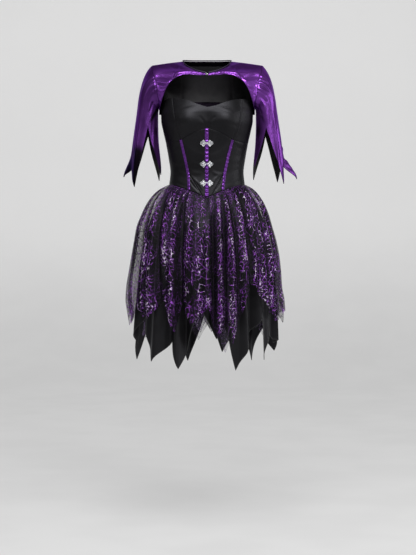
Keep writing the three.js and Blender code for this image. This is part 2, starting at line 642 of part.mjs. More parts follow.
function skirtPoint(layer, angle, z, fold, gather) {
  const top = skirtTop(angle);
  const d = Math.max(0, top - z);
  const base = bodyBase(wrap(angle), top);
  let out = standOut(layer.out, angle, d, layer.front);
  out -= read(FOLD_DEPTH, 'd', 'mm', d) * layer.folds * (1 - fold);
  out -= GATHER_DEPTH * layer.gathers * readStraight(GATHER_FADE, 'd', 'k', d) * (1 - gather);
  return vec(base.x + out * Math.sin(angle), base.y - out * Math.cos(angle), z);
}

function angleAt(layer, x, z, fold) {
  let lo = -89 * DEG;
  let hi = 89 * DEG;
  for (let k = 0; k < 40; k += 1) {
    const mid = (lo + hi) / 2;
    if (skirtPoint(layer, mid, z, fold, 1).x < x) lo = mid;
    else hi = mid;
  }
  return (lo + hi) / 2;
}

const layers = {
  overlay: {
    out: OVERLAY_OUT, front: OVERLAY_FRONT, folds: 1, gathers: 1, wall: OVERLAY_WALL,
    hem: OVERLAY_HEM, backHem: OVERLAY_BACK_HEM, columns: 46,
    rows: [0, 0.018, 0.045, 0.085, 0.14, 0.22, 0.33, 0.47, 0.63, 0.81, 1], look: WEB_TULLE,
  },
  satin: {
    out: SATIN_OUT, front: SATIN_FRONT, folds: 0.8, gathers: 0, wall: SATIN_WALL,
    hem: SATIN_HEM, backHem: SATIN_BACK_HEM, columns: 30,
    rows: [0, 0.03, 0.09, 0.2, 0.36, 0.56, 0.78, 1], look: BLACK_SATIN,
  },
  under: {
    out: UNDER_OUT, front: UNDER_FRONT, folds: 0.7, gathers: 0, wall: UNDER_WALL,
    hem: UNDER_HEM, backHem: UNDER_BACK_HEM, columns: 26,
    rows: [0, 0.04, 0.14, 0.36, 0.66, 1], look: PALE_TULLE,
  },
};

// Turn every hem table into rows of angle, from -90 to 270 degrees
function hemByAngle(layer) {
  const front = layer.hem.map((r) => ({ a: angleAt(layer, r.x, r.z, r.fold || 0), z: r.z, fold: r.fold }));
  const back = layer.backHem.map((r) => ({ a: r.deg * DEG, z: r.z, fold: r.fold }));
  const last = back[back.length - 1];
  return [{ ...last, a: -90 * DEG }, ...front, ...back];
}
const overlayHem = hemByAngle(layers.overlay);
function foldAt(angle) {
  let i = 0;
  while (i < overlayHem.length - 2 && overlayHem[i + 1].a < angle) i += 1;
  const t = clamp((angle - overlayHem[i].a) / (overlayHem[i + 1].a - overlayHem[i].a), 0, 1);
  return mix(overlayHem[i].fold, overlayHem[i + 1].fold, smooth(t));
}

function columnsOf(keys, from, to, count) {
  const marks = [from, ...keys.filter((a) => a > from + 0.01 && a < to - 0.01), to];
  while (marks.length - 1 < count) {
    let widest = 0;
    for (let i = 1; i < marks.length - 1; i += 1) {
      if (marks[i + 1] - marks[i] > marks[widest + 1] - marks[widest]) widest = i;
    }
    marks.splice(widest + 1, 0, (marks[widest] + marks[widest + 1]) / 2);
  }
  return marks;
}

for (const [layerName, layer] of Object.entries(layers)) {
  const hem = layerName === 'overlay' ? overlayHem : hemByAngle(layer);
  for (const [half, from, to] of [['front', -90, 90], ['back', 90, 270]]) {
    const gap = (SEAM / 2 / 120) / DEG;
    const keys = hem.map((r) => r.a).concat(from < 0 ? [0] : []).sort((p, q) => p - q);
    const marks = columnsOf(keys, (from + gap) * DEG, (to - gap) * DEG, layer.columns);
    const grid = marks.map((a, i) => {
      const top = skirtTop(a);
      const end = readStraight(hem, 'a', 'z', a);
      const gather = i % 2 === 0 ? 1 : -1;
      return layer.rows.map((t) => skirtPoint(layer, a, mix(end, top, 1 - t), foldAt(a), gather)).reverse();
    });
    const level = marks.map((a) => vec(Math.sin(a), -Math.cos(a), 0));
    const geometry = clothWall(grid, layer.wall, { topNormals: level, topRow: 'last', squareEnds: true });
    add(`skirt_${layerName}_${half}`, geometry, layer.look);
  }
}

// Bolero
const SIDE_SEAM_FOOT = endOf(KEYHOLE);
const sideEdge = (rows, side) => {
  const arm = softChain(rows, side);
  const foot = vec(SIDE_SEAM_FOOT.x * side, SIDE_SEAM_FOOT.y, SIDE_SEAM_FOOT.z);
  return (t) => {
    if (t < ARM_SHARE) return arm(t / ARM_SHARE);
    return arm(1).lerp(foot, (t - ARM_SHARE) / (1 - ARM_SHARE));
  };
};
const upperEdge = (side) => {
  const neck = softChain(NECKLINE, side);
  const shoulder = softChain(SHOULDER, side);
  return (s) => (s < 0.5 ? neck(s * 2) : shoulder(s * 2 - 1));
};

// Keep a point outside the bodice by at least out mm
const BODICE_CLEAR_Z = 240; // the bodice ends below this height
function pushOut(p, out) {
  if (p.z > BODICE_CLEAR_Z) return p;
  const w = read(BODY, 'z', 'w', p.z);
  const depth = read(BODY, 'z', p.y < 0 ? 'f' : 'b', p.z);
  const across = (Math.abs(p.x) / w) ** BODY_SQUARENESS;
  const through = (Math.abs(p.y) / depth) ** BODY_SQUARENESS;
  const size = (across + through) ** (1 / BODY_SQUARENESS);
  const need = 1 + out / Math.min(w, depth);
  if (size < need) {
    p.x *= need / size;
    p.y *= need / size;
  }
  return p;
}

function bulged(patch, height, direction) {
  return (s, t) => patch(s, t).addScaledVector(direction(s, t), height * 16 * s * (1 - s) * t * (1 - t));
}

const BOLERO_ROWS = [0, 0.08, 0.24, 0.42, 0.6, 0.77, 0.92, 1];
const FRONT_COLUMNS = 14;
for (const [name, side] of [['left', -1], ['right', 1]]) {
  const lower = softChain(KEYHOLE, side);
  const upper = upperEdge(side);
  const open = (t) => lower(0).lerp(upper(0), t);
  const arm = sideEdge(ARMHOLE_FRONT, side);
  let patch = coons(lower, upper, open, (t) => arm(1 - t), ARM_REACH);
  patch = bulged(patch, FRONT_BULGE, () => vec(0.2 * side, -1, 0.25));
  let grid = sample(patch, FRONT_COLUMNS, BOLERO_ROWS);
  let place = grid.map((col, i) => i / FRONT_COLUMNS);
  if (side < 0) {
    grid = grid.reverse();
    place = place.reverse();
  }
  const normals = gridNormals(grid, false);
  const top = BOLERO_ROWS.length - 1;
  place.forEach((s, i) => {
    if (s >= 0.5) normals[i][top].set(0, 0, 1);
    if (s === 1) {
      normals[i][0].set(side, 0, 0);
      normals[i][1].set(side, 0, 0);
    }
  });
  inset(grid, side > 0 ? ['right', 'up'] : ['left', 'up']);
  add(`bolero_front_${name}`, clothWall(grid, CLOTH, { normals }), PURPLE_SATIN);
}

const SIDE_BLEND = 0.18; // share of the back hem over which it turns into the side seam
function backHem(s) {
  // From the right side seam to the left one, by way of the centre back
  const a = mix(90, 270, s) * DEG;
  const p = bodyBase(a, BACK_HEM_Z).addScaledVector(bodyNormal(a, BACK_HEM_Z), BACK_HEM_STAND);
  const near = Math.max(0, 1 - Math.min(s, 1 - s) / SIDE_BLEND) ** 2;
  const sideX = SIDE_SEAM_FOOT.x * (s < 0.5 ? 1 : -1);
  p.x = mix(p.x, sideX, near);
  p.y = mix(p.y, SIDE_SEAM_FOOT.y, near);
  p.z = mix(BACK_HEM_Z, SIDE_SEAM_FOOT.z, near);
  return p;
}
const SHOULDER_SHARE = 0.3; // share of the back's upper edge that is one shoulder seam
const NECK_SHARE = 0.5 - SHOULDER_SHARE;
const backTop = (() => {
  const right = softChain(SHOULDER, 1);
  const left = softChain(SHOULDER, -1);
  const neckRight = softChain(NECK_BACK, 1);
  const neckLeft = softChain(NECK_BACK, -1);
  return (s) => {
    if (s < SHOULDER_SHARE) return right(1 - s / SHOULDER_SHARE);
    if (s < 0.5) return neckRight((s - SHOULDER_SHARE) / NECK_SHARE);
    if (s < 0.5 + NECK_SHARE) return neckLeft(1 - (s - 0.5) / NECK_SHARE);
    return left((s - 0.5 - NECK_SHARE) / SHOULDER_SHARE);
  };
})();
const armRight = sideEdge(ARMHOLE_BACK, 1);
const armLeft = sideEdge(ARMHOLE_BACK, -1);
const backPatch = (s, t) => {
  const p = backHem(s).lerp(backTop(s), t);
  const pull = Math.cos(Math.PI * s) ** 2;
  const arm = s < 0.5 ? armRight(1 - t) : armLeft(1 - t);
  const end = s < 0.5 ? backHem(0).lerp(backTop(0), t) : backHem(1).lerp(backTop(1), t);
  p.addScaledVector(arm.sub(end), pull);
  p.y += BACK_BULGE * 16 * s * (1 - s) * t * (1 - t);
  return s > 0 && s < 1 ? pushOut(p, BACK_HEM_STAND) : p;
};
const BACK_COLUMNS = 20;
const backGrid = sample(backPatch, BACK_COLUMNS, BOLERO_ROWS);
const backNormals = gridNormals(backGrid, false);
backNormals.forEach((col, i) => {
  const fromSide = Math.min(i, BACK_COLUMNS - i) / BACK_COLUMNS;
  if (fromSide <= SHOULDER_SHARE) col[BOLERO_ROWS.length - 1].set(0, 0, 1);
});
for (const row of [0, 1]) {
  backNormals[0][row].set(1, 0, 0);
  backNormals[BACK_COLUMNS][row].set(-1, 0, 0);
}
inset(backGrid, ['left', 'right', 'up']);
add('bolero_back', clothWall(backGrid, CLOTH, { normals: backNormals }), PURPLE_SATIN);

// Lining of the back, seen through the keyhole; it ends above the bodice's top edge
const LINING_EDGE = 2; // columns and rows of the back left bare round it
const lined = (grid) => grid.slice(LINING_EDGE, -LINING_EDGE).map((col) => col.slice(LINING_EDGE, -1));
const liningNormals = lined(backNormals);
const behind = (col, i) => col.map((p, j) => p.clone().addScaledVector(liningNormals[i][j], -CLOTH - SEAM));
const liningGrid = lined(backGrid).map(behind);
add('bolero_back_lining', clothWall(liningGrid, LINING_WALL, { normals: liningNormals }), BLACK_LINING);

// Binding along the neck edge, open at the centre front
{
  const neckFrontLeft = softChain(NECKLINE, -1);
  const neckFrontRight = softChain(NECKLINE, 1);
  const neckBackLeft = softChain(NECK_BACK, -1);
  const neckBackRight = softChain(NECK_BACK, 1);
  const ring = (s) => {
    if (s < 0.28) return neckFrontLeft(s / 0.28);
    if (s < 0.5) return neckBackLeft((s - 0.28) / 0.22);
    if (s < 0.72) return neckBackRight(1 - (s - 0.5) / 0.22);
    return neckFrontRight(1 - (s - 0.72) / 0.28);
  };
  const count = 40;
  const grid = [];
  const normals = [];
  for (let i = 0; i <= count; i += 1) {
    const p = ring(1 - i / count);
    const away = vec(p.x, p.y - 2, 0).normalize();
    const foot = p.clone().addScaledVector(away, 0.2).add(vec(0, 0, SEAM));
    const crest = foot.clone().add(vec(0, 0, BINDING_HEIGHT)).addScaledVector(away, -0.6);
    grid.push([foot, crest]);
    normals.push([away.clone(), away.clone()]);
  }
  add('neck_binding', clothWall(grid, BINDING_WALL, { normals }), BINDING);
}

// Hook and eye at the centre front: two linked wire rings
const RING_RADIUS = 2.4;
const RING_WIRE = 0.55;
const hook = new THREE.TorusGeometry(RING_RADIUS, RING_WIRE, 6, 14);
hook.rotateX(90 * DEG);
hook.translate(-1.25, -63, 298);
add('neck_hook', hook, SILVER);
const eye = new THREE.TorusGeometry(RING_RADIUS, RING_WIRE, 6, 14);
eye.translate(1.25, -63, 298);
add('neck_eye', eye, SILVER);

// Sleeves
function armLoop(side) {
  const front = softChain(ARMHOLE_FRONT, side);
  const back = softChain(ARMHOLE_BACK, side);
  // Degrees from the outside of the arm: 0 is the shoulder end, 90 the front, 180 the underarm
  return (deg) => {
    const d = ((deg % 360) + 360) % 360;
    return d <= 180 ? front(d / 180) : back((360 - d) / 180);
  };
}

function sleeveRing(side, deg, z) {
  const out = read(SLEEVE, 'z', 'out', z);
  const inner = read(SLEEVE, 'z', 'in', z);
  const deep = read(SLEEVE, 'z', 'deep', z);
  const c = Math.cos(deg * DEG);
  const s = Math.sin(deg * DEG);
  const mid = (out + inner) / 2;
  const half = (out - inner) / 2;
  const low = smooth(clamp((FLICK_TOP_Z - z) / (FLICK_TOP_Z - FLICK_END_Z), 0, 1));
  const away = ((deg + 190) % 360 - 180) / FLICK_SPREAD; // from the point at 10 degrees behind the outside
  const flick = (side < 0 ? FLICK_LEFT : FLICK_RIGHT) * low * Math.exp(-away * away);
  return vec(side * (mid + half * round(c, 0.9) + flick), SLEEVE_MID_Y - deep * round(s, 0.9), z);
}

function sleevePoint(side, hem, deg, t) {
  const start = armLoop(side)(deg).add(vec(SEAM * side, 0, 0));
  const endZ = readStraight(hem, 'deg', 'z', deg);
  const c = Math.cos(deg * DEG);
  const capEndZ = Math.min(SLEEVE_CAP_Z, start.z - 14);
  if (t >= CAP_SHARE) {
    const z = mix(capEndZ, endZ, (t - CAP_SHARE) / (1 - CAP_SHARE));
    return sleeveRing(side, deg, z);
  }
  const end = sleeveRing(side, deg, capEndZ);
  const control = end.clone();
  control.z = mix(capEndZ, start.z - 24 * clamp(0.3 + c, 0, 1), 0.95);
  control.x -= side * 9 * clamp(c, 0, 1);
  const u = t / CAP_SHARE;
  return start.multiplyScalar((1 - u) ** 2).addScaledVector(control, 2 * u * (1 - u)).addScaledVector(end, u * u);
}

const sleeveRows = [0, 0.05, 0.12, 0.2, 0.28, 0.36, 0.46, 0.58, 0.72, 0.86, 1];
const hemTables = { left: SLEEVE_LEFT_HEM, right: SLEEVE_RIGHT_HEM };
for (const [name, side] of [['left', -1], ['right', 1]]) {
  const first = hemTables[name][0];
  const hem = [...hemTables[name], { deg: first.deg + 360, z: first.z }];
  const marks = columnsOf(hem.map((r) => r.deg), first.deg, first.deg + 360, 26);
  marks.pop();
  let grid = marks.map((deg) => sleeveRows.map((t) => sleevePoint(side, hem, deg, t)).reverse());
  let edge = marks.map((deg) => {
    const p = armLoop(side)(deg);
    const radial = vec(0, p.y - 5, p.z - 262).normalize();
    const fold = smooth(clamp(-radial.z, 0, 1));
    return radial.multiplyScalar(1 - fold).add(vec(-side * fold, 0, 0)).normalize();
  });
  // Degrees run to the front first, so the right arm's columns turn against the body's
  if (side > 0) {
    grid = grid.reverse();
    edge = edge.reverse();
  }
  const normals = gridNormals(grid, true);
  const geometry = clothWall(grid, CLOTH, { around: true, normals, topNormals: edge, topRow: 'last' });
  add(`sleeve_${name}`, geometry, PURPLE_SATIN);

  // Black lining of the sleeve's lower part, made from the sleeve's own points
  const low = normals.map((col) => col.slice(0, LINED_ROWS));
  const inside = grid.map((col, i) => col.slice(0, LINED_ROWS)
    .map((p, j) => p.clone().addScaledVector(low[i][j], -CLOTH - SEAM)));
  const lining = clothWall(inside, LINING_WALL, { around: true, normals: low });
  add(`sleeve_lining_${name}`, lining, BLACK_LINING);
}

export default group;
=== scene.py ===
"""A witch costume as worn: cloth, ribbons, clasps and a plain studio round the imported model."""

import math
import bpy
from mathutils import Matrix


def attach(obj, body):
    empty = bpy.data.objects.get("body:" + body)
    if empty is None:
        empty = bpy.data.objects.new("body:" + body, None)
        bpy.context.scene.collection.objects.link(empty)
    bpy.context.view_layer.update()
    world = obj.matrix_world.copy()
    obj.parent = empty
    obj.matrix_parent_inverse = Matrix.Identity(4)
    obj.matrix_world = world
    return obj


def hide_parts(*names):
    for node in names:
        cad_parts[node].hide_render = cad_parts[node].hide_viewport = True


bl_info = {
    "name": "Witch costume",
    "version": (1, 0, 0),
    "blender": (4, 5, 0),
    "location": "3D View > Sidebar > Costume",
    "description": "Sews the bodice, skirt, bolero and trim of a witch costume and sets its stage",
    "category": "Mesh",
}

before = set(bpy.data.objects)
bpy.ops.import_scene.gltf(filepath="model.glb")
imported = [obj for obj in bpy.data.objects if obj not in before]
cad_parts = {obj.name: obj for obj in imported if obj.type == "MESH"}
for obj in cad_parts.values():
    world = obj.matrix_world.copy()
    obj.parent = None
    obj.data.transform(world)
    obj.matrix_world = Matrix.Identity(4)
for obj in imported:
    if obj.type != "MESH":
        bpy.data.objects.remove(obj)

import bmesh
import bpy
import numpy as np
from mathutils import Vector

MM = 0.001
DEG = math.pi / 180

# Millimetres from here on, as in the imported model; the front faces -Y
SEAM = 0.3
CLOTH = 1.2
SATIN_WALL = 0.8
LINING_WALL = 0.7
RIBBON_WALL = 0.6
INSIDE_RELIEF = 0.6
RIBBON_STAND = 0.9
THREAD_RADIUS = 0.28

# Bodice
BODY_SQUARENESS = 2.3
CUP_DEPTH, CUP_X, CUP_Z, CUP_WIDTH, CUP_HEIGHT = 15.0, 66.0, 153.0, 40.0, 40.0
WAIST_BACK_Z = -31.0
BODICE_BACK_TOP_Z = 215.0
GORE_TOP_Z = -7.0
PANEL_CREASE = 1.4
CENTRE_RIBBON = 11.0
SIDE_RIBBON = 7.5

# Bolero
BACK_HEM_Z = 182.0
BACK_HEM_STAND = 2.2
FRONT_BULGE = 5.0
BACK_BULGE = 20.0
BODICE_CLEAR_Z = 240.0
ARM_REACH = 1.7
ARM_SHARE = 0.92
SHOULDER_SHARE = 0.3
SIDE_BLEND = 0.18
# Its hems are turned in this wide and this high, and their stitches press a groove
HEM_STITCH, HEM_RISE, GROOVE = 6.4, 0.5, 0.9
STITCH_STAND = 0.12
# Painted shade: the purple is darkened up the shoulders, whose tops face away from the lights, between these
# heights
SHOULDER_PAINTED_SHADE, SHOULDER_PAINTED_SHADE_Z = 0.55, (304, 326)
BACK_LINING_PART = (slice(16, -16), slice(17, -5))
# Hook and eye at the neck: distance from the middle, y, z, ring, wire
FASTENER_X, FASTENER_Y, FASTENER_Z, FASTENER_RING, WIRE = 1.25, -63, 298, 2.4, 0.55

# Sleeves
SLEEVE_MID_Y = 4.0
SLEEVE_CAP_Z = 200.0
CAP_SHARE = 0.34
SLEEVE_LINING_ROWS = 40
POINT_SWING = 3.2
# The outermost point of each sleeve flicks outwards, over this many degrees and down these heights
FLICK_LEFT, FLICK_RIGHT = 18.0, 37.0
FLICK_SPREAD = 20.0
FLICK_TOP_Z, FLICK_END_Z = 62.0, -14.0

# height, half width, front depth, back depth
BODY = np.array([
    (-90, 132, 100, 100), (-31, 116, 89, 90), (3, 112.3, 85, 85), (48, 118, 88, 88),
    (97, 127, 97, 93), (132, 135, 104, 96), (160, 140.5, 108, 98), (178, 141, 108, 98),
    (200, 138.5, 104, 97), (235, 134, 97, 95),
], float)

# Seams and edges of the bodice front: x, z
SWEETHEART = np.array([
    (-136, 216), (-131.8, 219.2), (-115.9, 225.2), (-87.4, 224.3), (-58.7, 216.5), (-29.9, 203.7),
    (0.5, 194.4), (27.4, 199.2), (56.1, 210.8), (84.9, 219.2), (113.4, 222.2), (129.3, 218), (136, 215),
], float)
UNDERBUST = np.array([
    (-127, 92), (-119, 91.9), (-79.1, 97.5), (-40, 118), (0, 132.7), (40, 118), (77, 97.5),
    (117.2, 89), (127, 88.5),
], float)
WAIST_SEAM = np.array([
    (-120, -32.5), (-116, -33.4), (-90, -41), (-54.5, -55.2), (0, -76), (48, -55.2), (88, -41),
    (114, -33.5), (120, -32.5),
], float)
PRINCESS_LEFT = np.array([
    (-79.1, 97.5), (-88, 122), (-95, 151.3), (-100.5, 185), (-103.5, 212), (-104.5, 225),
], float)
PRINCESS_RIGHT = np.array([
    (77, 97.5), (89, 122), (99, 154), (103, 185), (104.5, 212), (105, 221.8),
], float)
RIBBON_LEFT = np.array([(-54.5, -55.2), (-56.6, -5.7), (-66.2, 42.1), (-79.1, 97.5)], float)
RIBBON_RIGHT = np.array([(48, -55.2), (52.5, -5.7), (63.5, 48), (77, 97.5)], float)
GORE_LEFT = np.array([(-14.2, -71.6), (-53, GORE_TOP_Z)], float)
GORE_RIGHT = np.array([(14.2, -69.3), (49, GORE_TOP_Z)], float)
CLASP_HEIGHTS = (87.0, 24.4, -33.5)
CLASP_X = -1.0

# How far a skirt layer stands out: depth below the waist seam, left, right
OVERLAY_OUT = np.array([
    (0, 0, 0), (12, 24, 23), (31, 47, 42), (57, 67, 60), (99, 88, 78), (132, 102, 88),
    (174, 111, 100), (221, 119, 109), (268, 127, 114), (316, 134, 117), (349, 135, 123),
    (392, 129, 126), (440, 122, 126), (500, 120, 126),
], float)
SATIN_OUT = np.array([
    (0, -1.5, -1.5), (12, 9, 9), (31, 20, 20), (69, 38, 38), (100, 55, 54), (176, 78, 77),
    (223, 86, 86), (265, 92, 91), (317, 97, 94), (394, 106, 100), (494, 113, 104), (580, 119, 108),
], float)
UNDER_OUT = np.array([
    (0, -3.1, -3.1), (12, 2, 2), (31, 9, 9), (69, 22, 22), (100, 35, 34), (176, 55, 54),
    (265, 68, 67), (394, 80, 76), (520, 90, 84),
], float)

# Pointed hems of the front: x, z, fold
OVERLAY_HEM = [
    (-237.5, -465, 1), (-214, -405, -1), (-173, -439, 1), (-129, -372, -1), (-99, -478, 1),
    (-74, -381, -1), (-47, -453, 1), (-19, -424, -0.8), (5, -404, 0.5), (17, -446, -0.3),
    (30, -496, 1), (53, -455, -1), (71, -515, 1), (106, -416, -0.9), (132, -330, 0.8),
    (149, -352, -0.9), (182, -408, 1), (211, -450, -0.3), (221, -408, -1), (240, -420, 1),
]
SATIN_HEM = [
    (-227, -523), (-199, -427), (-157, -566), (-111, -503), (-82, -586), (-20, -398), (27, -497),
    (47, -440), (88, -592), (156, -438), (169.5, -563), (190, -477), (212, -520),
]
UNDER_HEM = [
    (-195, -508), (-150, -420), (-100, -470), (-60, -400), (-20, -481), (18, -405), (52.5, -541),
    (100, -415), (140, -468), (175, -410), (200, -464),
]
# Pointed hems of the back: degrees from the centre front, z, fold
OVERLAY_BACK_HEM = [
    (90, -392, -0.6), (101, -462, 1), (112, -390, -1), (122, -448, 1), (132, -372, -1),
    (141, -486, 1), (150, -396, -1), (159, -455, 1), (168, -408, -0.8), (177, -500, 1),
    (187, -418, -1), (196, -476, 1), (206, -385, -1), (216, -510, 1), (226, -398, -1),
    (236, -446, 1), (247, -376, -0.9), (259, -470, 1), (270, -400, -0.6),
]
SATIN_BACK_HEM = [
    (90, -440), (104, -548), (120, -446), (135, -584), (151, -452), (166, -560), (181, -430),
    (196, -590), (212, -470), (226, -556), (242, -440), (257, -575), (270, -446),
]
UNDER_BACK_HEM = [
    (90, -405), (108, -500), (128, -412), (148, -516), (168, -408), (188, -522), (208, -415),
    (230, -508), (250, -404), (270, -440),
]
# How far the hem's notches fold in, by depth below the waist
FOLD_DEPTH = np.array([(0, 0), (20, 0.3), (60, 2), (150, 6), (300, 10), (440, 13), (600, 14)], float)

# Long folds of the skirt's front: degrees below the waist, degrees at the hem, width, depth
OVERLAY_FOLDS = [
    (-82, -80, 3.0, 6), (-69, -59, 3.2, 9), (-57, -49, 2.4, 6), (-47, -38, 3.2, 12), (-34, -30, 2.2, 6),
    (-22, -21, 3.6, 14), (-10, -9, 2.2, 6), (4, 5, 2.2, 12), (14, 14, 2.0, 5), (24, 25, 2.8, 12),
    (37, 35, 3.6, 11), (47, 45, 2.2, 5), (57, 54, 3.4, 10), (70, 66, 3.0, 8), (82, 80, 2.8, 6),
]
SATIN_FOLDS = [
    (-76, -72, 5, 6), (-58, -54, 4.5, 7), (-38, -35, 5, 8), (-18, -19, 4, 7), (2, 4, 4.5, 8),
    (21, 20, 3.6, 7), (39, 43, 5, 11), (60, 57, 4, 9), (77, 74, 4.5, 7),
]
# The back's folds are like the front's, turned round by this much and leaning the other way
BACK_TURN = 184

# Bolero edges of the right half: x, y, z
NECKLINE = [
    (4.6, -62, 301.3), (17, -62, 304), (35, -57, 309.2), (51.6, -46, 318.2), (65.3, -28, 328.5),
    (75, 4, 345),
]
NECK_BACK = [(75, 4, 345), (69, 32, 349), (44, 53, 351), (0, 61, 352)]
SHOULDER = [(75, 4, 345), (120, 5, 340), (168, 5, 333)]
KEYHOLE = [
    (4.6, -64, 294.3), (30.3, -68, 294.6), (56.6, -72, 295.8), (85.7, -75, 290.1), (109, -77, 274.1),
    (123.2, -76, 254.2), (132.6, -71, 231.9), (139.3, -58, 212.3), (145, -30, 190), (146.5, 5, 181),
]
ARMHOLE_FRONT = [
    (168, 5, 333), (167, -16, 318), (162.5, -36, 299), (156, -52, 272.8), (152, -56, 243),
    (148, -49, 219), (147, -26, 201), (147, 5, 196),
]
ARMHOLE_BACK = [
    (168, 5, 333), (167, 27, 318), (163, 46, 299), (158, 60, 272), (153, 64, 243),
    (149.5, 56, 219), (148, 34, 202), (147, 5, 196),
]
# Sleeve rings: z, outer edge, inner edge, half depth
SLEEVE = np.array([
    (-45, 240, 134, 66), (0, 237.5, 138, 63), (44, 234, 142, 60), (62, 232, 144, 58),
    (108, 226, 148, 54), (156, 219, 150, 52), (207, 212, 149.5, 52), (240, 207, 149, 54),
], float)
# Sleeve hems: degrees from the outside of the arm, 90 is the front; z
SLEEVE_LEFT_HEM = [
    (-12, -10), (22, 12), (55, -43), (98, 144), (152, -5), (188, 108), (226, -20), (266, 118),
    (312, -16), (330, 40),
]
SLEEVE_RIGHT_HEM = [
    (-8, -16), (18, 26), (33, -32), (98, 138), (146, 21), (182, 104), (218, -17), (264, 118),
    (304, -24), (330, 36),
]

# Creases in the front view: x0, z0, x1, z1, bow, width, height
BUST_CREASES = [
    (-60, 138, 70, 142, -6, 9, 0.9), (-20, 196, -88, 176, 4, 6, 0.6), (18, 196, 84, 172, -4, 6, 0.6),
    (-40, 150, -96, 132, 3, 5, 0.5), (42, 148, 98, 134, -3, 5, -0.6),
    (-84, 108, -90, 168, 2, 3.2, -0.7), (-98, 110, -103, 160, 1, 3, 0.5),
    (84, 104, 94, 150, -2, 3.2, -0.8), (96, 112, 104, 160, -2, 3, 0.5),
    (-2, 134, -26, 168, 3, 4, -0.5), (2, 134, 26, 168, -3, 4, -0.5),
]
MIDRIFF_CREASES = [
    (-20, 122, -7, 96, 3, 3, -0.9), (-30, 116, -12, 92, 3, 2.6, 0.7), (22, 122, 9, 92, -3, 3, 0.8),
    (34, 114, 12, 86, -4, 3.2, -0.8), (46, 108, 24, 76, -4, 4, 0.7), (-44, 108, -26, 78, 3, 4, -0.6),
    (-60, 40, -14, 20, 4, 7, 0.5), (58, 52, 16, 36, -3, 7, -0.5), (-52, 4, -14, -2, 3, 6, 0.5),
    (50, -6, 14, 4, -4, 5, 0.7), (-54, -20, -16, -62, 4, 3, -1.0), (-46, -14, -12, -54, -3, 3, 0.8),
    (46, -18, 16, -60, -4, 3, -0.9), (40, -8, 14, -40, 4, 4, 0.7),
]
SIDE_CREASES = [
    (-112, 40, -64, 26, 4, 8, 0.5), (-112, 4, -62, -8, -4, 7, 0.6), (-108, -20, -60, -44, 3, 5, -0.6),
    (112, 46, 68, 34, -4, 8, 0.5), (112, 8, 58, -4, 4, 7, -0.6), (108, -18, 56, -42, -3, 5, 0.6),
    (-112, 72, -76, 84, 2, 6, -0.4), (114, 70, 80, 84, -2, 6, -0.4),
]
# Bolero creases run from the armholes and shoulders towards the middle, right half; the left has its own
BOLERO_RIGHT_CREASES = [
    (170, 326, 60, 314, 3, 8, -2.6), (162, 308, 40, 302, -5, 8, 3.6), (160, 294, 104, 282, 5, 5, -3.0),
    (158, 284, 112, 276, -4, 5, 2.4), (156, 270, 122, 262, -3, 4.5, -2.2), (154, 258, 128, 248, -2, 4, 2.2),
    (152, 244, 132, 230, -2, 3.5, -1.6), (150, 226, 138, 212, 0, 3, 1.6), (120, 336, 66, 312, -4, 7, -1.6),
    (98, 336, 60, 318, -3, 5, 1.4), (140, 330, 104, 318, 3, 6, 1.4), (124, 268, 92, 292, 4, 4, 1.6),
    (90, 318, 24, 300, 5, 3.4, 1.2), (66, 312, 16, 299, 3, 2.6, -1.0),
]
BOLERO_LEFT_CREASES = [
    (-170, 327, -64, 315, -3, 9, -2.4), (-163, 307, -44, 303, 5, 8, 3.4), (-158, 292, -108, 282, -4, 5, -2.6),
    (-158, 282, -112, 272, 4, 5, 2.4), (-156, 268, -120, 258, 3, 5, -2.0), (-153, 250, -127, 242, 2, 4, 1.6),
    (-122, 336, -70, 314, 4, 7, -1.5), (-98, 336, -58, 316, 3, 5, 1.4), (-142, 328, -102, 318, -3, 6, 1.3),
    (-90, 318, -24, 300, -5, 3.4, 1.2), (-150, 228, -137, 214, 0, 3, 1.2),
]
BACK_CREASES = [
    (-150, 300, -60, 270, 8, 12, 1.6), (150, 296, 54, 262, -8, 12, 1.6), (-150, 262, -70, 240, 6, 9, -1.3),
    (150, 256, 76, 236, -6, 9, -1.4), (-148, 226, -60, 206, 5, 8, 1.2), (148, 222, 52, 204, -5, 8, 1.2),
    (-40, 340, -20, 250, 5, 9, -1.0), (36, 340, 22, 244, -5, 9, 1.0), (-120, 330, -70, 300, -4, 8, -1.1),
    (118, 330, 76, 298, 4, 8, -1.0), (-20, 236, 30, 200, 4, 10, 1.0),
]
BODICE_BACK_CREASES = [
    (-100, 60, -20, 40, 6, 8, 0.9), (96, 54, 18, 36, -6, 8, 0.8), (-96, 20, -16, 4, 5, 6, -0.8),
    (98, 14, 22, 0, -5, 6, -0.9), (-90, -8, -14, -20, 4, 5, 0.8), (92, -10, 14, -22, -4, 5, 0.8),
    (-80, 120, -20, 96, 6, 10, 0.7), (84, 124, 18, 92, -6, 10, 0.7), (-60, 190, -14, 150, 5, 9, -0.6),
]
